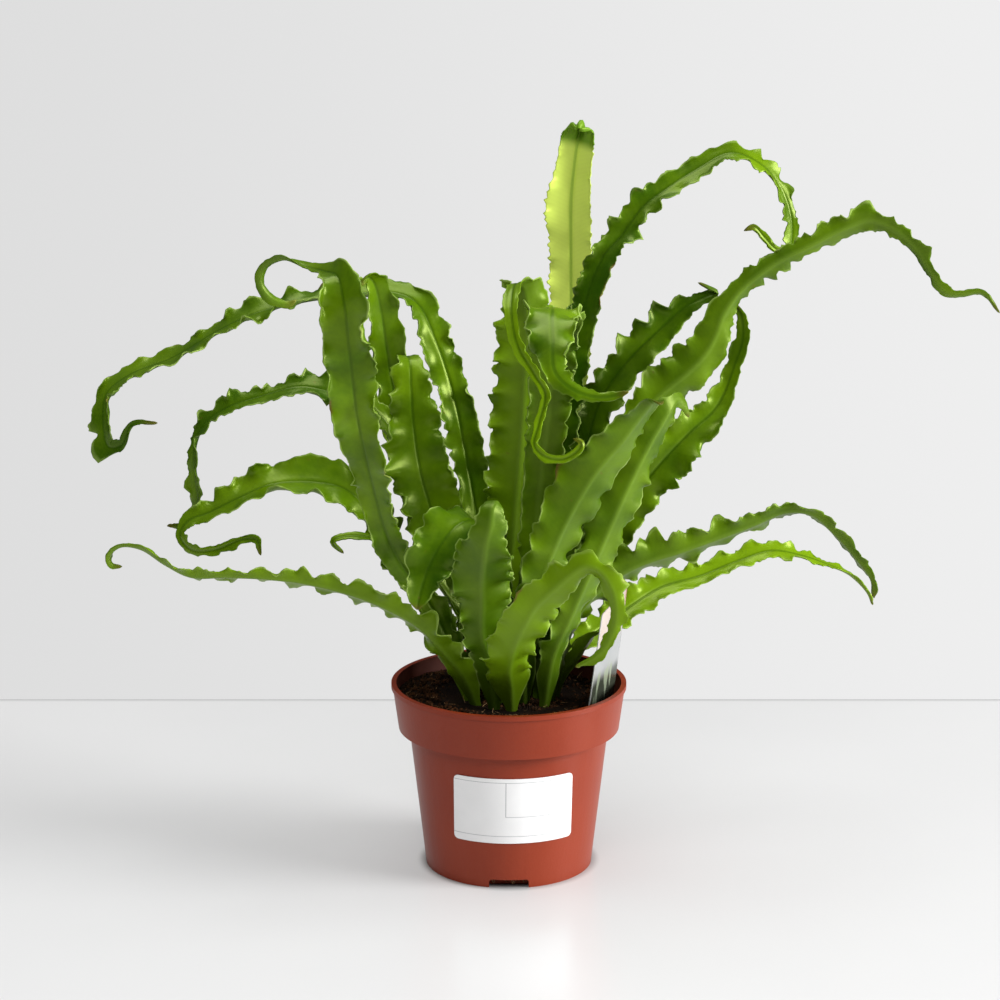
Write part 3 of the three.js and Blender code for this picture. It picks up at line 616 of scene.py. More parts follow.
def crown_mound():
    piece = turn_rings("crown_mound", CROWN_RINGS, CROWN_SIDES)
    bpy.ops.object.mode_set(mode="EDIT")
    bpy.ops.mesh.select_all(action="SELECT")
    bpy.ops.transform.translate(value=(CROWN_PLACE[0] * MM, CROWN_PLACE[1] * MM, 0))
    bpy.ops.mesh.subdivide(number_cuts=2)
    mesh = bmesh.from_edit_mesh(piece.data)
    for vert in mesh.verts:
        vert.co = uneven_place(vert.co)
    end_edit()
    return piece


def scale_shape():
    """One papery scale: a small flat tapered leaflet, leaning over in its upper half."""
    deselect_all()
    bpy.ops.mesh.primitive_cone_add(vertices=4, radius1=1, radius2=0.7, depth=1.6, end_fill_type="NGON")
    points, faces = squashed_shape((0.42, 0.10, 1.0))
    points[:, 1] -= SCALE_BEND * np.maximum(points[:, 2], 0)
    return points, faces


def crown_scales():
    places = []
    for _ in range(SCALE_COUNT):
        angle = luck.uniform(0, 2 * math.pi)
        radius = CROWN_RADIUS * math.sqrt(luck.uniform(0, 1))
        lean = math.radians(luck.uniform(*SCALE_LEANS)) * radius / CROWN_RADIUS
        outward = np.array([math.cos(angle), math.sin(angle), 0])
        up = outward * math.sin(lean) + np.array([0, 0, math.cos(lean)])
        side = unit(np.cross(up, outward))
        turn = np.stack([side, np.cross(up, side), up], axis=1)
        x = CROWN_PLACE[0] + radius * math.cos(angle)
        y = CROWN_PLACE[1] + radius * math.sin(angle)
        middle = np.array([x, y, crown_height(x, y)]) * MM
        places.append((middle, luck.uniform(*SCALE_SIZES) * MM, turn))
    return scattered_copies("crown_scales", scale_shape(), places)


crown = crown_mound()
crown.data.materials.append(peat("rhizome_bark", (0.006, 0.0035, 0.0018), (0.022, 0.012, 0.006), 0.0010))
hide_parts("crown")
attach(crown, "root")
scales = crown_scales()
scales.data.materials.append(peat("brown_scale", (0.010, 0.0055, 0.0025), (0.060, 0.030, 0.012), 0.0002))
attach(scales, "root")


# The fronds are living straps of leaf, each one blade with a stout midrib and margins that wave and curl.
# Each grows from the crown, rises, and arches over towards its tip. A frond is a sheet of rows across the
# midrib, wrapped round the blade's section, and its ripples, lobes and rolled edges are moved into place.
FRONDS = {
    # the azimuth a frond leans to at its root, how light its green is, and the stations of its midrib,
    # root first: x, y, z, blade width, roll in degrees
    "far_left_arch": (105, 0.14, [
        (-2, 7, 79, 9, 0), (-6, 12, 115, 10, 1), (-13, 18, 157, 14, 0), (-20, 23, 198, 17, 0),
        (-28, 28, 238, 19, -5), (-37, 35, 265, 18, 5), (-47, 41, 284, 16, 25), (-60, 44, 289, 16, 35),
        (-81, 43, 288, 17, 40), (-106, 40, 285, 17, 40), (-129, 38, 279, 17, 40), (-147, 36, 271, 16, 40),
        (-171, 34, 257, 16, 35), (-192, 32, 249, 16, 25), (-204, 28, 240, 16, 25), (-206, 24, 228, 14, 25),
        (-203, 20, 214, 11, 25), (-196, 16, 216, 6, 25), (-190, 14, 227, 3, 25), (-177, 12, 228, 1.5, 25),
    ]),
    "near_left": (100, 0.20, [
        (-18, -8, 79, 10, 0), (-24, -12, 104, 11, 12), (-31, -17, 123, 12, 15), (-41, -24, 146, 13, 5),
        (-53, -33, 166, 14, -10), (-60, -42, 184, 15, -20), (-66, -55, 212, 18, -20),
        (-72, -68, 247, 22, -20), (-75, -78, 281, 24, -20), (-77, -82, 306, 22, -20),
        (-80, -76, 316, 16, -20), (-87, -66, 317, 9, -10), (-96, -58, 318, 7, 10), (-107, -52, 321, 6, 50),
        (-116, -48, 317, 5, 50), (-119, -46, 309, 5, 50), (-114, -45, 301, 5, 50), (-106, -44, 298, 4, 50),
        (-102, -43, 300, 1.5, 50),
    ]),
    "thin_left": (105, 0.10, [
        (-8, 3, 79, 8, 0), (-16, 7, 109, 9, 10), (-28, 11, 140, 12, 16), (-40, 13, 171, 14, 25),
        (-50, 14, 198, 15, 35), (-60, 13, 225, 15, 45), (-74, 11, 240, 17, 50), (-91, 8, 245, 19, 50),
        (-105, 8, 247, 14, 50), (-125, 8, 242, 12, 50), (-140, 8, 237, 12, 50), (-153, 8, 228, 12, 50),
        (-158, 7, 216, 11, 45), (-158, 6, 202, 10, 40), (-157, 6, 188, 9, 40), (-163, 10, 176, 5, 40),
        (-174, 14, 174, 1.5, 40),
    ]),
    "left_mid_wide": (110, 0.22, [
        (-18, -1, 79, 9, 0), (-24, -6, 107, 9, 14), (-35, -9, 129, 12, 20), (-51, -9, 153, 16, 26),
        (-66, -7, 181, 21, 30), (-82, -7, 198, 25, 40), (-100, -8, 202, 26, 45), (-119, -10, 201, 24, 50),
        (-136, -12, 194, 19, 50), (-150, -12, 187, 14, 50), (-160, -12, 183, 9, 50),
        (-164, -14, 176, 6, 50), (-158, -18, 170, 6, 50), (-146, -22, 171, 5, 50), (-132, -25, 177, 4, 50),
        (-125, -26, 177, 3, 50), (-123, -26, 169, 1.5, 50),
    ]),
    "small_left_curl": (120, 0.25, [
        (-9, -9, 79, 6, 0), (-15, -11, 113, 6, 22), (-27, -14, 138, 8, 40), (-42, -17, 159, 9, 50),
        (-57, -20, 171, 8, 50), (-70, -22, 177, 6, 50), (-81, -24, 178, 5, 50), (-87, -25, 176, 4, 50),
        (-82, -26, 170, 2, 50),
    ]),
    "low_left": (250, 0.48, [
        (-14, -16, 79, 12, 0), (-22, -22, 103, 14, -1), (-31, -28, 118, 16, -5), (-46, -36, 136, 17, -5),
        (-66, -39, 148, 15, -5), (-84, -41, 155, 14, -5), (-103, -43, 160, 13, -5),
        (-121, -43, 162, 12, -5), (-139, -44, 163, 11, -10), (-156, -44, 163, 10, -15),
        (-168, -44, 169, 8, -25), (-180, -44, 177, 6, -25), (-190, -43, 178, 5, -25),
        (-196, -42, 173, 4, -25), (-195, -41, 168, 3, -25), (-190, -40, 167, 1.5, -25),
    ]),
    "front_left_glossy": (258, 0.06, [
        (-5, -14, 79, 11, 0), (-6, -18, 118, 13, -8), (-8, -23, 150, 19, -14), (-11, -27, 173, 24, -22),
        (-17, -33, 188, 27, -42), (-25, -40, 188, 28, -62), (-33, -46, 180, 27, -76),
        (-39, -49, 169, 22, -80), (-43, -52, 158, 15, -80), (-45, -54, 149, 4, -80),
    ]),
    "front_centre": (266, 0.12, [
        (-7, -22, 79, 14, 0), (-9, -32, 112, 16, 0), (-13, -40, 131, 21, 0), (-13, -49, 149, 26, 0),
        (-13, -59, 166, 31, 0), (-12, -66, 178, 29, 0), (-11, -70, 187, 20, 0), (-9, -72, 195, 15, 0),
        (-8, -71, 203, 13, 0), (-6, -66, 206, 9, 0), (-5, -62, 203, 4, 0),
    ]),
    "front_right_light": (282, 0.82, [
        (2, -24, 79, 18, 0), (1, -32, 101, 20, 1), (0, -43, 114, 24, 0), (2, -55, 128, 26, -8),
        (7, -64, 143, 24, -16), (13, -69, 155, 23, -22), (21, -73, 164, 18, -28), (29, -76, 172, 13, -32),
        (36, -78, 177, 10, -36), (43, -79, 175, 11, -38), (49, -80, 166, 11, -38), (51, -80, 153, 8, -34),
        (47, -78, 139, 6, -28), (41, -75, 131, 4, -20), (32, -71, 125, 1.5, -15),
    ]),
    "small_low_right": (290, 0.50, [
        (22, 0, 79, 10, 0), (27, -1, 100, 12, 14), (32, -2, 107, 12, 24), (38, -4, 115, 12, 30),
        (42, -5, 121, 8, 30), (46, -5, 123, 3, 30),
    ]),
    "right_low_upper": (295, 0.26, [
        (20, -7, 79, 8, 0), (25, -12, 107, 9, 11), (30, -13, 126, 11, 10), (41, -15, 144, 15, 5),
        (54, -16, 155, 20, 0), (67, -16, 162, 21, 0), (86, -15, 168, 19, 0), (106, -13, 175, 17, 0),
        (123, -11, 181, 14, 5), (138, -10, 187, 12, 5), (151, -10, 186, 11, 15), (164, -9, 175, 9, 25),
        (176, -8, 161, 7, 25), (183, -8, 151, 5, 25), (184, -8, 142, 2, 25),
    ]),
    "right_low_lower": (65, 0.70, [
        (18, 8, 79, 8, 0), (24, 14, 98, 8, -1), (36, 25, 107, 12, 0), (50, 38, 114, 15, 5),
        (65, 50, 122, 16, 10), (81, 60, 129, 15, 10), (102, 68, 133, 14, 10), (121, 74, 139, 13, 10),
        (140, 78, 144, 12, 5), (156, 80, 141, 10, -5), (170, 81, 136, 8, -15), (183, 82, 130, 6, -25),
        (193, 82, 120, 4, -25), (196, 82, 113, 1.5, -25),
    ]),
    "high_right_arch": (80, 0.00, [
        (2, 1, 79, 9, 0), (10, 6, 120, 10, 8), (15, 14, 162, 12, 16), (23, 20, 205, 15, 15),
        (30, 25, 244, 16, 15), (36, 30, 275, 16, 10), (41, 32, 293, 16, 0), (48, 35, 309, 16, -5),
        (58, 39, 320, 15, -15), (68, 43, 333, 14, -20), (80, 46, 342, 13, -25), (95, 50, 351, 12, -25),
        (112, 53, 359, 11, -25), (125, 52, 355, 10, -25), (135, 51, 346, 9, -25), (142, 50, 332, 9, -15),
        (144, 49, 319, 7, -5), (142, 47, 310, 5, -5), (136, 45, 311, 4, -5), (129, 44, 318, 4, -5),
        (124, 43, 323, 3, -5), (119, 42, 321, 1.2, -5),
    ]),
    "right_long_arch": (290, 0.28, [
        (14, -2, 79, 10, 0), (19, 1, 117, 11, -1), (29, 4, 148, 13, -4), (42, 7, 184, 15, -5),
        (57, 10, 215, 17, -5), (74, 12, 240, 21, -5), (90, 12, 254, 25, -5), (99, 12, 264, 22, 0),
        (104, 12, 274, 17, 0), (107, 12, 283, 15, 0), (116, 12, 296, 12, 0), (132, 11, 309, 12, 0),
        (147, 10, 317, 12, 0), (164, 9, 326, 14, 0), (178, 8, 331, 13, 0), (191, 7, 326, 10, 0),
        (201, 6, 317, 9, 10), (209, 5, 305, 8, 20), (216, 4, 296, 6, 20), (224, 3, 295, 4, 20),
        (234, 2, 296, 3, 20), (243, 1, 286, 1.2, 20),
    ]),
    "right_dark_jagged": (80, 0.10, [
        (10, 4, 79, 9, 0), (19, 12, 125, 10, 3), (27, 21, 165, 13, 8), (37, 28, 202, 16, 10),
        (47, 33, 235, 19, 10), (60, 37, 254, 19, 10), (75, 40, 269, 18, 5), (90, 42, 282, 11, -5),
        (100, 42, 287, 7, -15), (106, 41, 290, 4, -15), (101, 40, 293, 3, -15), (96, 39, 295, 1.2, -15),
    ]),
    "right_hanging_tip": (80, 0.20, [
        (13, -9, 79, 10, 0), (20, -6, 114, 11, 1), (30, -3, 135, 13, 4), (43, -2, 160, 19, 10),
        (58, 0, 187, 24, 15), (75, 3, 208, 25, 15), (91, 8, 224, 22, 10), (103, 13, 234, 16, 0),
        (109, 17, 243, 11, -10), (114, 20, 256, 10, -20), (118, 22, 269, 9, -20), (117, 23, 281, 5, -20),
        (113, 24, 287, 2, -20),
    ]),
    "right_rolled": (285, 0.24, [
        (17, -16, 79, 11, 0), (22, -24, 115, 12, 7), (30, -29, 136, 15, 7), (39, -32, 159, 20, 5),
        (49, -32, 183, 23, 5), (60, -30, 208, 22, 5), (71, -27, 229, 18, 5), (79, -24, 242, 13, 5),
        (83, -18, 246, 9, 15), (87, -14, 242, 5, 15), (89, -12, 236, 2, 15),
    ]),
    "centre_right_diagonal": (280, 0.20, [
        (8, -14, 79, 12, 0), (8, -23, 115, 14, 4), (11, -34, 139, 19, 8), (18, -41, 165, 24, 10),
        (28, -46, 191, 28, 10), (41, -49, 215, 28, 10), (55, -51, 233, 24, 10), (64, -53, 246, 16, 10),
        (69, -57, 253, 9, 10), (72, -63, 253, 4, 10),
    ]),
    "near_overhang": (270, 0.20, [
        (5, -8, 79, 11, 0), (8, -14, 119, 12, 0), (12, -20, 161, 15, 0), (15, -24, 201, 18, 0),
        (19, -29, 241, 21, 0), (21, -38, 277, 25, 0), (22, -52, 296, 27, 0), (20, -70, 299, 26, 0),
        (20, -87, 288, 21, 0), (21, -96, 275, 12, 0), (30, -99, 267, 7, 0), (41, -100, 264, 5, 0),
        (49, -101, 265, 4, 0), (55, -102, 267, 1.5, 0),
    ]),
    "tall_centre": (270, 0.55, [
        (-3, -4, 79, 13, 0), (-2, -6, 117, 16, 0), (0, -8, 151, 24, 0), (3, -11, 188, 30, 0),
        (6, -14, 224, 33, 0), (8, -18, 260, 33, 0), (9, -22, 286, 28, 0), (7, -26, 303, 17, 0),
        (3, -36, 306, 9, 0), (1, -49, 298, 7, 0), (4, -60, 281, 6, 0), (12, -66, 268, 5, 0),
        (17, -68, 259, 4, 0), (14, -70, 245, 4, 0), (12, -72, 235, 4, 0), (17, -74, 230, 4, 0),
        (25, -75, 229, 4, 0), (32, -76, 233, 4, 0), (34, -76, 237, 3, 0), (30, -75, 239, 1.5, 0),
    ]),
    "young_upright": (85, 0.88, [
        (5, 8, 79, 9, 0), (8, 16, 115, 10, 0), (13, 28, 154, 13, 0), (22, 38, 193, 16, 0),
        (29, 47, 233, 19, 0), (32, 54, 268, 20, 0), (32, 58, 304, 20, 0), (32, 59, 335, 18, 0),
        (34, 57, 358, 16, 0), (36, 53, 372, 15, 0), (36, 48, 375, 12, 0), (35, 44, 372, 6, 0),
    ]),
    "wide_dark_left": (100, 0.22, [
        (-10, -2, 79, 10, 0), (-13, 0, 113, 12, 4), (-21, 2, 140, 17, 0), (-31, 0, 163, 25, -5),
        (-39, -2, 186, 32, -5), (-45, -1, 209, 32, -5), (-48, 3, 232, 26, -5), (-49, 8, 248, 20, 0),
        (-50, 15, 259, 14, 10), (-52, 22, 260, 8, 10), (-55, 28, 256, 3, 10),
    ]),
    "tall_dark_left": (100, 0.26, [
        (-14, 9, 79, 9, 0), (-18, 13, 113, 11, 9), (-27, 19, 142, 14, 6), (-38, 24, 169, 19, 0),
        (-49, 28, 200, 22, 0), (-57, 30, 231, 21, 0), (-62, 30, 262, 19, 0), (-65, 28, 284, 17, 10),
        (-68, 25, 297, 12, 20), (-71, 21, 301, 7, 20), (-75, 18, 297, 3, 20),
    ]),
    "back_left": (105, 0.15, [
        (-6, 14, 79, 10, 0), (-16, 24, 111, 11, 4), (-25, 38, 139, 16, 8), (-33, 54, 167, 20, 10),
        (-40, 70, 190, 20, 10), (-45, 86, 206, 17, 10), (-47, 102, 208, 13, 10), (-49, 118, 190, 9, 10),
        (-51, 128, 166, 5, 10), (-51, 130, 148, 2, 10),
    ]),
    "back_centre": (88, 0.15, [
        (2, 16, 79, 10, 0), (0, 26, 110, 11, 0), (2, 42, 138, 17, 0), (4, 58, 166, 22, 0),
        (6, 76, 194, 22, 0), (8, 94, 215, 19, 0), (11, 112, 222, 15, 0), (13, 130, 210, 11, 0),
        (15, 142, 185, 7, 0), (16, 148, 155, 2, 0),
    ]),
    "back_right": (70, 0.15, [
        (11, 14, 79, 10, 0), (15, 24, 111, 11, -7), (25, 38, 139, 15, -12), (35, 54, 162, 18, -15),
        (47, 70, 182, 19, -15), (59, 86, 191, 16, -15), (68, 100, 190, 12, -15), (71, 110, 181, 9, -15),
        (70, 118, 163, 5, -15), (67, 122, 147, 2, -15),
    ]),
}
YOUNG = "young_upright"
STALK_WIDTH = 5.5
STALK_LENGTH = 9
STALK_EASE = 20
CALM_LENGTH = 16
CALM_EASE = 30
WAVE_STEP = 8.5
FEWEST_WAVES = 4
FINE_STEPS = 8
SAMPLES_PER_SPAN = 40
TIP_ROUNDING = 5
RIPPLE_SHARE = 0.13
CUP_SHARE = 0.29
BLADE_LEAN = 0.13
BLADE_BILLOW = 0.55
USUAL_MARGIN = (12.5, 1)
OTHER_MARGINS = {
    # length of a lobe, depth of the lobes against the usual
    "young_upright": (3.9, 1), "thin_left": (8, 1.6), "left_mid_wide": (13, 1.2),
    "right_low_upper": (11, 1.2), "right_low_lower": (10, 1.2), "far_left_arch": (10.5, 1.3),
    "high_right_arch": (10.5, 1.15), "right_long_arch": (10.5, 1.1), "front_centre": (6.5, 0.75),
    "front_right_light": (15, 1.3), "tall_centre": (9.5, 0.9), "wide_dark_left": (10, 0.9),
    "centre_right_diagonal": (10, 0.5), "tall_dark_left": (14, 0.65), "low_left": (12, 1.4),
    "near_left": (14, 0.75), "right_dark_jagged": (11, 1.3), "right_hanging_tip": (11, 1.2),
    "near_overhang": (10, 0.7),
}
OTHER_CUPS = {"near_overhang": -0.5, "young_upright": 1.5}
# how much lighter the outer end of a frond is, and where along it that starts and is full
PALE_ENDS = {"high_right_arch": 0.3}
PALE_END_SHARES = (0.66, 0.78)
# the blade's section: its columns out from the midrib, its thickness and the relief of its rib
RIB_COLUMNS = [(0.7, 0.16), (1.5, 0.34), (2.6, 0.52)]
OUTER_COLUMNS = [0.26, 0.48, 0.66, 0.79, 0.88, 0.95, 1.0]
HALF_THICKNESS = 0.42
EDGE_THINNING = 0.17
NARROW_STOUTNESS = 0.35
KEEL_WIDTH = 1.5
USUAL_RIB = SimpleNamespace(
    groove=0.35, groove_width=0.5, shoulder=0.3, shoulder_out=1.5, shoulder_width=0.8, keel=0.5,
)
# over what length along a frond each thing changes
BUSY_LENGTH = 38
CUP_LENGTH = 27
LEAN_LENGTH = 31
BILLOW_LENGTH = 15
FRILL_LENGTH = 4.6
CRINKLE_LENGTH = 1.7
FOLD_LENGTH = 4
# the shape of a lobe, in parts of its length and of its height
SHORTEST_DROP = 0.18
DROP_SPREAD = 0.16
LOWEST_LOBE = 0.2
LOBE_SPREAD = 1.25
LOBE_LEVEL = 0.55
TOOTH_LENGTH = 0.09
TOOTH_HEIGHT = 0.22
TOOTHLESS_SHARE = 0.35
CRINKLE_HEIGHT = 0.35
# how the lobes' edges roll: most of them up, a few of them tightly
ROLL_REACH = 0.38
TIGHT_SHARE = 0.16
LOOSE_SHARE = 0.5
UPWARD_SHARE = 0.72
ROLL_TIGHTNESS = 0.85
ROLLED_PART = 0.34
ROLLED_WIDTHS = (0.5, 4.2)
# the young frond is fuller, its margins are calmer, it bulges at the left, and its tip is crushed in folds
YOUNG_GIRTH = 1.12
YOUNG_SWING = 0.42
YOUNG_RIPPLE = 0.4
YOUNG_ROLL = 0.3
YOUNG_CRUMPLE = 2.4
YOUNG_BULGE = 0.28
BULGE_PLACE = 52
BULGE_WIDTH = 13
FOLD_HEIGHT = 1.3
YOUNG_RIB = SimpleNamespace(
    groove=1.1, groove_width=0.8, shoulder=0.7, shoulder_out=2.2, shoulder_width=1.1, keel=1.0,
)


def smoothstep(value, start, end):
    share = np.clip((value - start) / (end - start), 0, 1)
    return share * share * (3 - 2 * share)


def hump(value, middle, width):
    """A smooth rise to 1 at the middle, and down again."""
    return np.exp(-((value - middle) / width) ** 2)


def scatter(first, second):
    """A repeatable number from 0 to 1 for a pair of whole numbers, which may be arrays."""
    wave = np.sin(first * 12.9898 + second * 78.233) * 43758.5453
    return wave - np.floor(wave)


def wander(seed, value):
    """A smooth random number from -1 to 1 that changes as the value grows by one."""
    whole = np.floor(value)
    ease = (1 - np.cos(np.pi * (value - whole))) / 2
    return 2 * (scatter(seed, whole) * (1 - ease) + scatter(seed, whole + 1) * ease) - 1


def drift(frond, stream, length):
    """A smooth random number from -1 to 1 along a frond, which changes over a length."""
    return wander(frond.seed + stream, frond.along / length)


def curve_samples(stations):
    """Points of a centripetal Catmull-Rom curve through the stations, and how far along each one is."""
    knots = np.array(stations, float)[:, :3]
    padded = np.vstack([2 * knots[0] - knots[1], knots, 2 * knots[-1] - knots[-2]])
    share = (np.arange(SAMPLES_PER_SPAN) / SAMPLES_PER_SPAN)[:, None]
    points = []
    for span in range(len(knots) - 1):
        before, start, end, after = padded[span:span + 4]
        gap = [math.sqrt(np.linalg.norm(b - a)) for a, b in ((before, start), (start, end), (end, after))]
        leave = (start - before) / gap[0] - (end - before) / (gap[0] + gap[1]) + (end - start) / gap[1]
        arrive = (end - start) / gap[1] - (after - start) / (gap[1] + gap[2]) + (after - end) / gap[2]
        leave = leave * gap[1]
        arrive = arrive * gap[1]
        square = -3 * start + 3 * end - 2 * leave - arrive
        cube = 2 * start - 2 * end + leave + arrive
        points.append(start + leave * share + square * share ** 2 + cube * share ** 3)
    points = np.vstack([*points, knots[-1:]])
    return points, np.arange(len(points)) / SAMPLES_PER_SPAN


def walk_midrib(stations):
    """Even steps along the midrib, with the blade's width, roll and share of full waviness at each."""
    points, along = curve_samples(stations)
    steps = np.linalg.norm(np.diff(points, axis=0), axis=1)
    lengths = np.concatenate([[0], np.cumsum(steps)])
    waves = max(FEWEST_WAVES, round(lengths[-1] / WAVE_STEP))
    target = np.linspace(0, lengths[-1], waves * FINE_STEPS + 1)
    place = np.stack([np.interp(target, lengths, points[:, axis]) for axis in range(3)], axis=1)
    station = np.interp(target, lengths, along)
    table = np.array(stations, float)
    width, roll = (np.interp(station, np.arange(len(table)), table[:, column]) for column in (3, 4))
    width = STALK_WIDTH + (width - STALK_WIDTH) * smoothstep(target, STALK_LENGTH, STALK_LENGTH + STALK_EASE)
    waved = smoothstep(target, CALM_LENGTH, CALM_LENGTH + CALM_EASE)
    return place, target, width, np.radians(roll), waved


def blade_frames(place, roll, leans):
    """The way across the blade and its upper side at each step, carried along without twist, then rolled."""
    azimuth = math.radians(leans)
    across = np.array([math.sin(azimuth), -math.cos(azimuth), 0])
    forward = np.gradient(place, axis=0)
    forward /= np.linalg.norm(forward, axis=1)[:, None]
    sideways = []
    for way in forward:
        across = across - way * across.dot(way)
        across = across / np.linalg.norm(across)
        sideways.append(across)
    sideways = np.array(sideways)
    turn = roll[:, None]
    rolled = sideways * np.cos(turn) + np.cross(forward, sideways) * np.sin(turn)
    return rolled, np.cross(rolled, forward)


def plan_frond(name, seed, leans, stations):
    """What one blade is worked out from: a value, a point or a direction at each step of its midrib."""
    place, along, width, roll, waved = walk_midrib(stations)
    across, upper = blade_frames(place, roll, leans)
    young = name == YOUNG
    to_tip = along[-1] - along
    tip = np.sqrt(np.clip(1 - (1 - np.clip(to_tip / TIP_ROUNDING, 0, 1)) ** 2, 0.02, 1))
    half = width / 2 * tip * (YOUNG_GIRTH if young else 1)
    return SimpleNamespace(
        name=name, seed=seed, young=young, place=place, across=across, upper=upper, along=along,
        to_tip=to_tip, share_along=along / along[-1], width=width, half=half, tip=tip, waved=waved,
    )


def ripple_of(frond, side):
    """How far a margin is waved up or down at each step, by eased steps between whole waves."""
    position = np.arange(len(frond.along)) / FINE_STEPS
    wave = np.floor(position)
    ease = (1 - np.cos(np.pi * (position - wave))) / 2

    def lift(number):
        sign = np.where((number + side) % 2 == 0, 1, -1)
        return sign * (0.55 + 0.75 * scatter(frond.seed + 31 * side, number))

    return lift(wave) * (1 - ease) + lift(wave + 1) * ease


def lobes_of(frond, side, lobe_length):
    """The outline of a margin: rounded lobes that end in a small tooth, with a hollow after each."""
    turn = frond.along / lobe_length + 0.5 * side + 0.5 * drift(frond, 7 * side, 1.7 * lobe_length)
    lobe = np.floor(turn)
    nearest = np.round(turn)
    share = turn - lobe
    drop = SHORTEST_DROP + DROP_SPREAD * scatter(frond.seed + 13 * side, lobe)
    falling = np.clip(1 - share / drop, 0, 1) ** 1.5
    rising = np.sin(np.clip((share - drop) / (1 - drop), 0, 1) * np.pi / 2) ** 0.9
    tooth = np.clip(1 - np.minimum(share, 1 - share) / TOOTH_LENGTH, 0, 1)
    tooth = tooth * (scatter(frond.seed + 23 * side, nearest) > TOOTHLESS_SHARE)
    strength = LOWEST_LOBE + LOBE_SPREAD * scatter(frond.seed + 57 * side, lobe)
    after = LOWEST_LOBE + LOBE_SPREAD * scatter(frond.seed + 57 * side, lobe - 1)
    height = np.where(share < drop, falling * after, rising * strength)
    return height - LOBE_LEVEL, tooth, nearest, np.abs(turn - nearest)


def rolled_edge(seed, side, lobe, away):
    """How tightly the outermost part of a lobe is rolled, and which way, one value a step."""
    chance = scatter(seed + 91 * side, lobe)
    window = np.clip(1 - (away / ROLL_REACH) ** 2, 0, 1)
    tightness = np.where(chance < TIGHT_SHARE, 1.0, np.where(chance < LOOSE_SHARE, 0.5, 0.15))
    way = np.where(scatter(seed + 37 * side, lobe) < UPWARD_SHARE, 1, -0.7)
    return window * tightness * way


def margin_of(frond, side):
    """How far a margin's lobes and its fine crinkle stand out at each step, and how tightly it rolls."""
    lobe_length, depth = OTHER_MARGINS.get(frond.name, USUAL_MARGIN)
    shape, tooth, lobe, away = lobes_of(frond, side, lobe_length)
    busy = np.clip(0.85 + 0.6 * drift(frond, 101 * side, BUSY_LENGTH), 0.3, 1.35)
    busy = busy * depth * (0.5 + 0.5 * smoothstep(frond.along, 10, 60))
    swing = np.clip(2.7 / frond.half, 0.12, 0.46) * (YOUNG_SWING if frond.young else 1)
    swell = frond.waved * swing * busy
    bend = rolled_edge(frond.seed, side, lobe, away) * frond.waved * ROLL_TIGHTNESS
    bend = bend * (YOUNG_ROLL if frond.young else 1) * np.clip(frond.half / 6, 0, 1)
    return SimpleNamespace(
        busy=busy, shape=shape, lobed=swell * (shape + TOOTH_HEIGHT * tooth),
        crinkled=swell * CRINKLE_HEIGHT * drift(frond, 83 * side, CRINKLE_LENGTH), bend=bend,
    )


def waves_of(frond, side, margin):
    """How far a margin is waved up or down: the long waves, and the frill of its very edge."""
    crumple = 1 + YOUNG_CRUMPLE * smoothstep(-frond.to_tip, -26, -9) if frond.young else 1
    full = np.clip(frond.half / 9, 0.45, 1) * (YOUNG_RIPPLE if frond.young else 1)
    size = 2 * frond.half * RIPPLE_SHARE * frond.waved * full * crumple * np.clip(margin.busy, 0.5, 1.3)
    frill = 0.7 * drift(frond, 71 * side, FRILL_LENGTH) + 0.5 * margin.shape
    return size * ripple_of(frond, side), size * frill


def rolled_in(distance, half, bend):
    """How far the rolled part of a margin draws in and rises, at each distance from the midrib."""
    roll_width = np.clip(ROLLED_PART * half, *ROLLED_WIDTHS)
    into = np.clip(distance - (half - roll_width)[:, None], 0, None)
    bent = np.abs(bend) > 1e-4
    safe = np.where(bent, bend, 1)
    curled = (into > 0) & bent
    drawn_in = np.where(curled, into - np.sin(into * bend) / safe, 0)
    return drawn_in, np.where(curled, (1 - np.cos(into * bend)) / safe, 0)


def half_blade(frond, side):
    """One half of the blade, as distances outwards and upwards from the midrib at each step."""
    margin = margin_of(frond, side)
    waves, frill = waves_of(frond, side, margin)
    near = [np.minimum(fixed, part * frond.half) for fixed, part in RIB_COLUMNS]
    rest = [near[-1] + (frond.half - near[-1]) * part for part in OUTER_COLUMNS]
    distance = np.stack(near + rest, axis=1)
    out = distance / frond.half[:, None]
    outwards = distance * (1 + margin.lobed[:, None] * out ** 2 + margin.crinkled[:, None] * out ** 9)
    cup = CUP_SHARE * OTHER_CUPS.get(frond.name, 1) * (1 + 0.8 * drift(frond, 11 * side, CUP_LENGTH))
    upwards = (frond.half * cup)[:, None] * out ** 1.25
    upwards = upwards + waves[:, None] * out ** 2.6 + frill[:, None] * out ** 4
    drawn_in, raised = rolled_in(distance, frond.half, margin.bend[:, None])
    outwards = outwards - drawn_in
    if frond.young and side == 0:
        outwards = outwards * (1 + YOUNG_BULGE * hump(frond.to_tip, BULGE_PLACE, BULGE_WIDTH))[:, None]
    return outwards, upwards + raised, distance, out


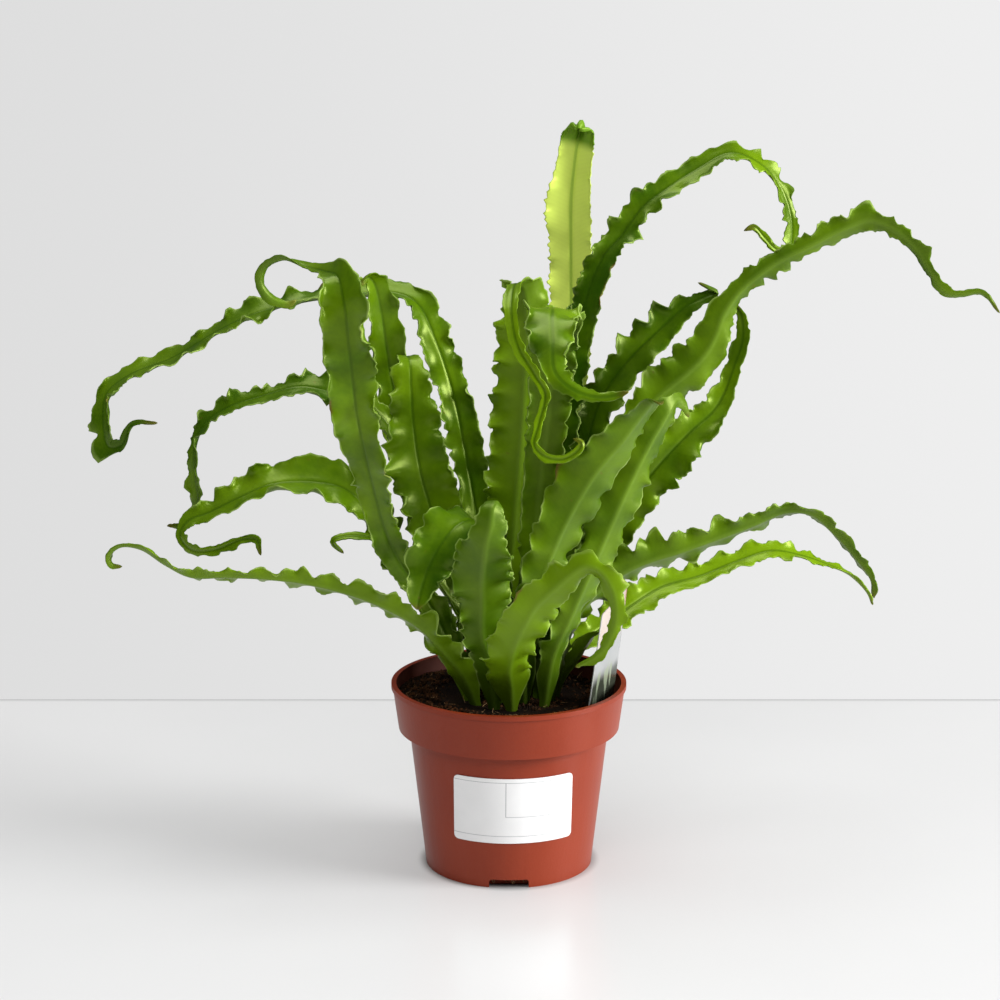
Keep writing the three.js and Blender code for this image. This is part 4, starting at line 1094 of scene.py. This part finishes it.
def blade_middle(frond, outwards, upwards, distance, out, sign):
    """The blade's middle surface, a row of points at each step, which leans and billows a little."""
    lean = (drift(frond, 5, LEAN_LENGTH) * frond.half * BLADE_LEAN)[:, None] * sign * out
    billow = wander(frond.seed + 19, frond.along[:, None] / BILLOW_LENGTH + 0.9 * sign)
    billow = billow * np.minimum(1, distance / 6) * BLADE_BILLOW
    raised = upwards + (lean + billow) * frond.waved[:, None]
    if frond.young:
        crushed = FOLD_HEIGHT * smoothstep(-frond.to_tip, -21, -13)[:, None]
        raised = raised + crushed * np.sin(8.5 * sign * out + 2.5 * drift(frond, 41, FOLD_LENGTH)[:, None])
    aside = frond.across[:, None, :] * outwards[:, :, None]
    return frond.place[:, None, :] + aside + frond.upper[:, None, :] * raised[:, :, None]


def blade_ring(frond, middle, distance, out):
    """The points round the blade at each step: across its upper side, then back along its underside."""
    normal = np.cross(np.gradient(middle, axis=1), np.gradient(middle, axis=0))
    normal = normal / np.maximum(np.linalg.norm(normal, axis=2), 1e-9)[:, :, None]
    narrow = np.clip(1 - frond.half[:, None] / 3, 0, 1)
    blade = HALF_THICKNESS - EDGE_THINNING * out ** 2 + NARROW_STOUTNESS * narrow
    blade = blade * np.clip(frond.tip[:, None] * 1.4, 0.2, 1)
    rib = YOUNG_RIB if frond.young else USUAL_RIB
    groove = rib.groove * hump(distance, 0, rib.groove_width)
    groove = groove - rib.shoulder * hump(distance, rib.shoulder_out, rib.shoulder_width)
    keel = rib.keel * hump(distance, 0, KEEL_WIDTH) * np.minimum(1, frond.half[:, None] / 2.5)
    stout = np.minimum(np.minimum(1, frond.width / 10), 1 - 0.65 * frond.share_along)[:, None]
    top = middle + normal * (blade - groove * stout)[:, :, None]
    under = middle - normal * (blade + keel * stout)[:, :, None]
    return np.concatenate([top, under[:, ::-1], top[:, :1]], axis=1)


def wrapped_sheet(name, rows, columns):
    """A grid with one column more than the section, and each point's row and column in it."""
    deselect_all()
    bpy.ops.mesh.primitive_grid_add(x_subdivisions=columns, y_subdivisions=rows - 1, size=1)
    sheet = bpy.context.object
    sheet.name = name
    sheet.data.name = name
    flat = np.zeros(len(sheet.data.vertices) * 3)
    sheet.data.vertices.foreach_get("co", flat)
    flat = flat.reshape(-1, 3)
    column = np.rint((flat[:, 0] + 0.5) * columns).astype(int)
    row = np.rint((flat[:, 1] + 0.5) * (rows - 1)).astype(int)
    return sheet, row, column


def store_on_points(piece, name, *values):
    """Stores three values for each point of a mesh, as one vector attribute."""
    attribute = piece.data.attributes.new(name, "FLOAT_VECTOR", "POINT")
    attribute.data.foreach_set("vector", np.stack(values, axis=1).astype(np.float32).ravel())


def close_section(sheet):
    """Joins the sheet's two long edges under the blade, closes both ends and turns its faces outwards."""
    pick(sheet)
    bpy.ops.object.mode_set(mode="EDIT")
    bpy.ops.mesh.select_all(action="SELECT")
    bpy.ops.mesh.remove_doubles(threshold=2e-6)
    bpy.ops.mesh.select_all(action="DESELECT")
    bpy.ops.mesh.select_mode(type="EDGE")
    bpy.ops.mesh.select_non_manifold(
        extend=False, use_wire=False, use_boundary=True, use_multi_face=False,
        use_non_contiguous=False, use_verts=False,
    )
    bpy.ops.mesh.fill_holes(sides=0)
    bpy.ops.mesh.select_mode(type="VERT")
    end_edit()
    bpy.ops.object.shade_smooth()


def make_frond(name, seed, leans, tone, stations):
    frond = plan_frond(name, seed, leans, stations)
    left = half_blade(frond, 0)
    right = half_blade(frond, 1)
    rows, columns = right[0].shape
    none = np.zeros((rows, 1))
    sign = np.sign(np.arange(-columns, columns + 1))[None, :]
    outwards = np.hstack([-left[0][:, ::-1], none, right[0]])
    upwards, distance, out = (
        np.hstack([this[:, ::-1], none, that]) for this, that in zip(left[1:], right[1:])
    )
    middle = blade_middle(frond, outwards, upwards, distance, out, sign)
    ring = blade_ring(frond, middle, distance, out)
    signed = out * sign
    across = np.concatenate([signed, signed[:, ::-1], signed[:, :1]], axis=1)
    face_up = np.concatenate([np.ones_like(signed), np.zeros_like(signed), none + 1], axis=1)
    sheet, row, column = wrapped_sheet(f"{name}_blade", rows, ring.shape[1] - 1)
    sheet.data.vertices.foreach_set("co", (ring[row, column] * MM).ravel())
    lightness = tone + PALE_ENDS.get(name, 0) * smoothstep(frond.share_along, *PALE_END_SHARES)
    store_on_points(sheet, "blade_place", across[row, column], frond.along[row] * MM, face_up[row, column])
    store_on_points(sheet, "frond_look", frond.share_along[row], frond.half[row] * MM, lightness[row])
    close_section(sheet)
    return sheet


def highest(tree, largest, *others):
    for other in others:
        largest = arithmetic(tree, "MAXIMUM", largest, other)
    return largest


def stored(tree, name):
    """The three values that a mesh stores for each of its points."""
    return split(tree, add_node(tree, "ShaderNodeAttribute", attribute_name=name).outputs["Vector"])


def leaf_places(tree):
    """Where a point lies on its blade: distances in metres, shares from 0 to 1."""
    across, along, above = stored(tree, "blade_place")
    share, half, tone = stored(tree, "frond_look")
    from_rib = times(tree, arithmetic(tree, "ABSOLUTE", across), half)
    return SimpleNamespace(
        place=object_place(tree), along=along, share=share, half=half, tone=tone, above=above,
        below=arithmetic(tree, "SUBTRACT", 1, above), from_rib=from_rib,
        from_margin=arithmetic(tree, "SUBTRACT", half, from_rib),
    )


def leaf_green(tree, given, on, fine):
    """The blade's green, in soft patches, and paler underneath."""
    patches = noise(tree, on.place, 38)
    lightness = scaled(tree, patches, 1.1, arithmetic(tree, "SUBTRACT", on.tone, 0.42))
    lightness = step_between(tree, plus(tree, lightness, times(tree, fine, 0.16)), 0.0, 1.0)
    green = blend_colours(tree, lightness, given["Dark"], given["Light"])
    return blend_colours(tree, on.above, blend_colours(tree, 0.7, given["Under"], green), green)


def side_veins(tree, on):
    """1 between the slanting side veins, 0 on them."""
    slant = scaled(tree, on.from_rib, -0.55, on.along)
    return step_between(tree, arithmetic(tree, "PINGPONG", times(tree, slant, 420), 0.5), 0.04, 0.4)


def with_midrib(tree, given, on, skin):
    """Adds the paler band beside the midrib, its dark groove above and its pale ridge below."""
    beside = times(tree, step_between(tree, on.from_rib, 0.004, 0.0012), 0.10)
    skin = blend_colours(tree, beside, skin, given["Under"])
    groove = times(tree, step_between(tree, on.from_rib, 0.0012, 0.0003), on.above, 0.5)
    skin = blend_colours(tree, groove, skin, given["Dark"])
    ridge = times(tree, step_between(tree, on.from_rib, 0.0022, 0.0004), on.below, 0.28)
    return blend_colours(tree, ridge, skin, given["Rib"])


def with_margins(tree, given, on, skin):
    """Adds a pale rim and burnt edges on the wide parts, a burnt tip and a few brown spots."""
    wide_part = step_between(tree, on.half, 0.0035, 0.0070)
    paler = step_between(tree, noise(tree, on.place, 70, 2), 0.4, 0.65)
    paler = times(tree, scaled(tree, paler, 0.55, 0.15), wide_part)
    rim = times(tree, step_between(tree, on.from_margin, 0.0009, 0.0002), paler)
    skin = blend_colours(tree, rim, skin, given["Margin"])
    burnt = step_between(tree, noise(tree, on.place, 52, 2), 0.64, 0.72)
    burnt = times(tree, burnt, step_between(tree, on.from_margin, 0.0016, 0.0004), wide_part)
    burnt_tip = times(tree, step_between(tree, on.share, 0.975, 1.0), 0.7)
    spots = times(tree, step_between(tree, noise(tree, on.place, 210, 1), 0.76, 0.82), 0.4)
    brown = times(tree, highest(tree, burnt, burnt_tip, spots), 0.8)
    return blend_colours(tree, brown, skin, given["Brown"])


def leaf_skin_group():
    """The colour, roughness and height of a frond's skin, from its place on the blade."""
    tree, given, result = start_group(
        "leaf_skin",
        {name: "Color" for name in ("Dark", "Light", "Under", "Rib", "Margin", "Brown")},
        {"Colour": "Color", "Roughness": "Float", "Height": "Float"},
    )
    on = leaf_places(tree)
    fine = noise(tree, on.place, 420, 2)
    vein = side_veins(tree, on)
    skin = shaded(tree, leaf_green(tree, given, on, fine), scaled(tree, vein, 0.02, 0.98))
    skin = with_margins(tree, given, on, with_midrib(tree, given, on, skin))
    # Painted shade: the blade is darkened near its foot, at the peat.
    painted_foot_shade = scaled(tree, step_between(tree, on.along, 0.008, 0.055), 0.68, 0.32)
    rough = plus(tree, scaled(tree, fine, 0.08, 0.26), times(tree, on.below, 0.1))
    swell = times(tree, noise(tree, on.place, 90, 1), 2.2)
    height = plus(tree, scaled(tree, vein, 0.05, times(tree, fine, 0.03)), swell)
    set_inputs(tree, result, Colour=shaded(tree, skin, painted_foot_shade), Roughness=rough, Height=height)
    return tree


leaf_skin = leaf_skin_group()


def leaf_material(name, crushed_tip=None, **colours):
    """A frond's glossy skin. The young frond's crushed tip has a colour of its own."""
    made, tree, shader = start_material(name, Specular_IOR_Level=0.52, Specular_Tint=(0.82, 1.0, 0.24))
    skin = add_node(tree, "ShaderNodeGroup", node_tree=leaf_skin)
    set_inputs(tree, skin, **colours)
    colour = skin.outputs["Colour"]
    if crushed_tip:
        share = stored(tree, "frond_look")[0]
        colour = blend_colours(tree, step_between(tree, share, 0.926, 0.948), colour, crushed_tip)
    set_inputs(tree, shader, Base_Color=colour, Roughness=skin.outputs["Roughness"])
    add_bump(tree, shader, skin.outputs["Height"], 0.0002, 0.7)
    return made


leaf = leaf_material(
    "leaf", Dark=(0.020, 0.068, 0.0003), Light=(0.165, 0.295, 0.002), Under=(0.052, 0.112, 0.001),
    Rib=(0.16, 0.27, 0.03), Margin=(0.34, 0.48, 0.11), Brown=(0.12, 0.06, 0.015),
)
young_leaf = leaf_material(
    "young_leaf", Dark=(0.14, 0.34, 0.012), Light=(0.67, 0.82, 0.135), Under=(0.58, 0.72, 0.10),
    Rib=(0.50, 0.60, 0.14), Margin=(0.44, 0.56, 0.10), Brown=(0.27, 0.40, 0.03),
    crushed_tip=(0.13, 0.27, 0.012),
)
for number, (name, (leans, tone, stations)) in enumerate(FRONDS.items()):
    frond = make_frond(name, number + 1, leans, tone, stations)
    frond.data.materials.append(young_leaf if name == YOUNG else leaf)
    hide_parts(f"frond_{name}")
    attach(frond, "root")


# The sticker is a white paper label with rounded corners, stuck flat round the front of the pot's body.
# It carries only thin grey ruled lines.
STICKER_WIDTH = 63
STICKER_HEIGHT = 35.3
STICKER_FOOT = 25.1
STICKER_CORNER = 2.5
STICKER_TURN = 3
STICKER_LIFT = 0.3
STICKER_THICKNESS = 0.3
STICKER_STRIP = 1.5
CORNER_STEPS = 6
RULE_WIDTH = 0.3
RULE_INK = 0.75
RULED_LINES = [
    # whether it lies level, the place it lies at, its start and end, weight, darkness
    (True, 0.94, -1, 0.916, 1, 1),
    (True, 0.11, -1, 0.916, 1, 1),
    (False, 0.916, 0.11, 0.94, 1, 0.4),
    (False, 0.435, 0.41, 0.94, 1.4, 1),
    (True, 0.41, 0.435, 0.916, 1, 1),
]


def body_radius(height):
    foot, top = POT_RINGS[:2]
    return foot[0] + (top[0] - foot[0]) * height / top[1]


def flat_card(name, width, height, corner, strip, corners_from=-math.inf):
    """A flat card that faces the front, its corners above a height rounded, cut into upright strips."""
    deselect_all()
    bpy.ops.mesh.primitive_plane_add(size=1, rotation=(math.pi / 2, 0, 0))
    settle(bpy.context.object)
    card = begin_piece(name)
    bpy.ops.transform.resize(value=(width * MM, 1, height * MM))
    select_where(card, "verts", lambda vert: vert.co.z > corners_from)
    bpy.ops.mesh.bevel(offset=corner * MM, segments=CORNER_STEPS, affect="VERTICES")
    for number in range(1, int(width / strip)):
        bpy.ops.mesh.select_all(action="SELECT")
        at = (number * strip - width / 2) * MM
        bpy.ops.mesh.bisect(plane_co=(at, 0, 0), plane_no=(1, 0, 0))
    end_edit()
    return card


def keep_flat_places(card, width, height):
    """Writes each corner's place on the flat card into a UV map, before the card is bent."""
    layer = card.data.uv_layers.new(name="flat_place")
    for loop in card.data.loops:
        point = card.data.vertices[loop.vertex_index].co
        layer.data[loop.index].uv = (point.x / (width * MM) + 0.5, point.z / (height * MM) + 0.5)


def wrap_round_pot(card):
    middle = STICKER_FOOT + STICKER_HEIGHT / 2
    for vert in card.data.vertices:
        height = vert.co.z / MM + middle
        radius = body_radius(height) + STICKER_LIFT
        angle = vert.co.x / MM / body_radius(height) + math.radians(STICKER_TURN - 90)
        vert.co = Vector((radius * math.cos(angle), radius * math.sin(angle), height)) * MM


def grey(value):
    return (value, value, value)


def flat_place(tree):
    return add_node(tree, "ShaderNodeUVMap", uv_map="flat_place").outputs[0]


def ruled_line(tree, value, at, thickness, beside, start, end):
    """1 where one place is at a line and the other lies between its ends, 0 elsewhere."""
    away = arithmetic(tree, "ABSOLUTE", arithmetic(tree, "SUBTRACT", value, at))
    on_line = arithmetic(tree, "LESS_THAN", away, thickness / 2)
    past_start = arithmetic(tree, "GREATER_THAN", beside, start)
    return times(tree, on_line, past_start, arithmetic(tree, "LESS_THAN", beside, end))


def ruled_lines(tree):
    """How much ink the ruled lines lay on each place of the sticker."""
    right, up, _ = split(tree, flat_place(tree))
    lines = []
    for level, at, start, end, weight, darkness in RULED_LINES:
        value, beside, size = (up, right, STICKER_HEIGHT) if level else (right, up, STICKER_WIDTH)
        line = ruled_line(tree, value, at, weight * RULE_WIDTH / size, beside, start, end)
        lines.append(times(tree, line, darkness))
    return highest(tree, *lines)


def sticker_paper():
    """Coated white paper with thin grey ruled lines, on the card's own flat places."""
    made, tree, shader = start_material("sticker_paper", Specular_IOR_Level=0.4)
    white, _, grain = grained(tree, grey(0.88), grey(0.92), 60, 2600, 0.04)
    paper = blend_colours(tree, times(tree, ruled_lines(tree), RULE_INK), white, (0.30, 0.31, 0.33))
    set_inputs(tree, shader, Base_Color=paper, Roughness=scaled(tree, grain, 0.1, 0.42))
    add_bump(tree, shader, grain, 0.00005, 0.5)
    return made


sticker = flat_card("pot_sticker_label", STICKER_WIDTH, STICKER_HEIGHT, STICKER_CORNER, STICKER_STRIP)
keep_flat_places(sticker, STICKER_WIDTH, STICKER_HEIGHT)
wrap_round_pot(sticker)
apply_modifier(sticker, "SOLIDIFY", thickness=STICKER_THICKNESS * MM, offset=1)
smooth(sticker, 30)
sticker.data.materials.append(sticker_paper())
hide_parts("pot_sticker")
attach(sticker, "root")


# The plant tag is a thin slip of printed clear plastic with a slanting top, pushed into the peat at the
# right. Its print is a plain design of soft bands, with pale streaks at the foot.
TAG_FOOT = ((38.5, -20.5, 76), (52, 1.5, 76))
TAG_TOP = ((46.5, -20.5, 137), (60, 1.5, 146))
TAG_WIDTH = 26
TAG_HEIGHT = 66
TAG_CORNER = 1.6
TAG_STRIP = 1.3
TAG_BOW = 0.35
TAG_THICKNESS = 0.6
TAG_EDGE = 0.15


def tag_slip():
    """A card whose corners are moved to the tag's place, bowed a little across its width."""
    card = flat_card("plant_tag_slip", TAG_WIDTH, TAG_HEIGHT, TAG_CORNER, TAG_STRIP, corners_from=0)
    keep_flat_places(card, TAG_WIDTH, TAG_HEIGHT)
    foot_left, foot_right, top_left, top_right = (Vector(point) for point in (*TAG_FOOT, *TAG_TOP))
    facing = (foot_right - foot_left).cross(top_left - foot_left).normalized()
    for vert in card.data.vertices:
        right = vert.co.x / (TAG_WIDTH * MM) + 0.5
        up = vert.co.z / (TAG_HEIGHT * MM) + 0.5
        low = foot_left.lerp(foot_right, right)
        high = top_left.lerp(top_right, right)
        bow = TAG_BOW * (1 - (2 * right - 1) ** 2)
        vert.co = (low.lerp(high, up) + facing * bow) * MM
    apply_modifier(card, "SOLIDIFY", thickness=TAG_THICKNESS * MM, offset=0)
    apply_modifier(card, "BEVEL", width=TAG_EDGE * MM, segments=2, limit_method="ANGLE")
    smooth(card)
    return card


def tag_print(tree, soft):
    """A cream band, a clear one and a dark foot with pale streaks, a pale left edge and a warm corner."""
    flat = flat_place(tree)
    right, up, _ = split(tree, flat)
    wavy = scaled(tree, soft, 0.12, up)
    cream = blend_colours(tree, soft, (0.50, 0.41, 0.35), (0.55, 0.49, 0.45))
    clear = blend_colours(tree, soft, (0.32, 0.33, 0.33), (0.42, 0.43, 0.43))
    drawn = {"Vector": flat, "Scale": (4.6, 2.6, 1), "Rotation": (0, 0, 0.7)}
    drawn = add_node(tree, "ShaderNodeMapping", drawn).outputs[0]
    streaks = step_between(tree, noise(tree, drawn, 1, 1), 0.50, 0.57)
    corner = times(tree, step_between(tree, right, 0.90, 1.0), step_between(tree, up, 0.80, 0.95), 0.8)
    layers = [
        (step_between(tree, wavy, 0.66, 0.84), cream),
        (step_between(tree, wavy, 0.54, 0.42), (0.045, 0.052, 0.036)),
        (times(tree, streaks, step_between(tree, wavy, 0.56, 0.48), 0.85), (0.30, 0.35, 0.24)),
        (times(tree, step_between(tree, right, 0.04, 0.0), 0.8), (0.52, 0.52, 0.51)),
        (corner, (0.42, 0.17, 0.07)),
    ]
    colour = clear
    for share, layer in layers:
        colour = blend_colours(tree, share, colour, layer)
    return colour


def tag_plastic():
    made, tree, shader = start_material("tag_plastic", Specular_IOR_Level=0.4)
    soft = noise(tree, object_place(tree), 90, 2)
    set_inputs(tree, shader, Base_Color=tag_print(tree, soft), Roughness=scaled(tree, soft, 0.16, 0.16))
    add_bump(tree, shader, soft, 0.0003, 0.4)
    return made


tag = tag_slip()
tag.data.materials.append(tag_plastic())
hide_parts("plant_tag")
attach(tag, "root")


# The pot stands on a glossy white table top. It glows faintly away from the pot, painted light that lifts
# the shade on the table, and it is darker round the pot's foot, a painted contact shadow, and along its far
# edge, painted shade.
# Behind its far edge is a plain pale grey wall, and the sky light stands for it; its grey is lighter at the
# right, painted light from that side. A wide soft lamp stands at the right, and smaller ones in front and
# above.
TABLE_SIZE = (8, 4, 0.04)
TABLE_BACK = 0.273
TABLE_ROUNDING = 0.003
# how far before the back edge the painted shade along the far edge starts and is full
TABLE_EDGE_SHADE = (0.009, 0.002)
LAMPS_AIM = (0, 0, 0.2)
LAMPS = [
    # name, place, width, watts, whether it shows in reflections
    ("key_lamp", (2.38, -0.62, 1.05), 1.4, 101, True),
    ("front_lamp", (-0.2, -1.4, 1.4), 0.9, 9.5, False),
    ("top_lamp", (-0.1, 0.1, 1.6), 1.0, 11.5, True),
]
# the wall's grey at its left and at its right; the lighter right is painted light from that side
WALL_LEFT = grey(0.725)
WALL_RIGHT = grey(0.865)
SKY_SHARE = 0.26
# radii round the pot over which the painted contact shadow fades out, and over which the painted glow comes
# in
TABLE_CONTACT_SHADOW_RADII = (0.036, 0.044)
TABLE_PAINTED_GLOW_RADII = (0.042, 0.048)
CAMERA_PLACE = (-0.0045, -1.3683, 0.522)
CAMERA_TILT = 13.6
CAMERA_LENS = 100.8


def table_top():
    _, depth, thickness = TABLE_SIZE
    deselect_all()
    bpy.ops.mesh.primitive_cube_add(size=1, location=(0, TABLE_BACK - depth / 2, -thickness / 2))
    top = begin_piece("table_top")
    bpy.ops.transform.resize(value=TABLE_SIZE)
    bpy.ops.mesh.select_all(action="SELECT")
    bpy.ops.mesh.bevel(offset=TABLE_ROUNDING, segments=3, affect="EDGES")
    end_edit()
    settle(top)
    return top


def table_gloss():
    """White gloss with a faint glow of painted light away from the pot, a painted contact shadow round its
    foot and painted shade along the far edge.
    """
    made, tree, shader = start_material("table_gloss", Specular_IOR_Level=0.45, Emission_Strength=0.3)
    white, patch, _ = grained(tree, grey(0.475), grey(0.495), 3, 400, 0.02)
    place = object_place(tree)
    from_pot = add_node(tree, "ShaderNodeVectorMath", {0: place}, operation="LENGTH").outputs["Value"]
    shade_start, shade_end = (TABLE_BACK - before for before in TABLE_EDGE_SHADE)
    # Painted shade: a darker band along the table's far edge, where the wall stands behind it.
    painted_edge_shade = step_between(tree, split(tree, place)[1], shade_start, shade_end)
    white = blend_colours(tree, painted_edge_shade, white, grey(0.24))
    # A painted contact shadow round the pot's foot. The glow away from the pot is painted light, which lifts
    # the table's shade.
    white = blend_colours(tree, step_between(tree, from_pot, *TABLE_CONTACT_SHADOW_RADII), grey(0.02), white)
    painted_glow = blend_colours(tree, step_between(tree, from_pot, *TABLE_PAINTED_GLOW_RADII), grey(0), grey(1))
    set_inputs(tree, shader, Base_Color=white, Emission_Color=painted_glow, Roughness=scaled(tree, patch, 0.05, 0.2))
    return made


def soft_lamp(name, place, size, watts, shines):
    light = bpy.data.lights.new(name, "AREA")
    light.shape = "DISK"
    light.size = size
    light.energy = watts
    lamp = bpy.data.objects.new(name, light)
    lamp.location = place
    lamp.visible_camera = False
    lamp.visible_glossy = shines
    aim = Vector(LAMPS_AIM) - Vector(place)
    lamp.rotation_euler = aim.to_track_quat("-Z", "Y").to_euler()
    bpy.context.collection.objects.link(lamp)


def pale_surroundings():
    """The wall's greys where the camera sees it, lighter at the right as painted light, and a dimmer sky,
    dimmer still in reflections, as light.
    """
    world = bpy.data.worlds.new("pale_wall")
    world.use_nodes = True
    tree = world.node_tree
    right, _, up = split(tree, add_node(tree, "ShaderNodeTexCoord").outputs["Generated"])
    wall = blend_colours(tree, step_between(tree, right, -0.24, 0.24), WALL_LEFT, WALL_RIGHT)
    rays = add_node(tree, "ShaderNodeLightPath").outputs
    dimmed = scaled(tree, rays["Is Glossy Ray"], -0.6, 1)
    sky = times(tree, scaled(tree, up, 0.9, 0.4), SKY_SHARE, dimmed)
    seen = blend_colours(tree, rays["Is Camera Ray"], sky, wall)
    set_inputs(tree, tree.nodes["Background"], Color=seen)
    bpy.context.scene.world = world


def photo_camera():
    lens = bpy.data.cameras.new("photo_camera")
    lens.lens = CAMERA_LENS
    lens.sensor_width = 36
    lens.clip_end = 20
    camera = bpy.data.objects.new("photo_camera", lens)
    camera.location = CAMERA_PLACE
    camera.rotation_euler = (math.radians(90 - CAMERA_TILT), 0, 0)
    bpy.context.collection.objects.link(camera)
    bpy.context.scene.camera = camera


table = table_top()
table.data.materials.append(table_gloss())
for lamp in LAMPS:
    soft_lamp(*lamp)
pale_surroundings()
photo_camera()
bpy.context.scene.view_settings.view_transform = "Standard"
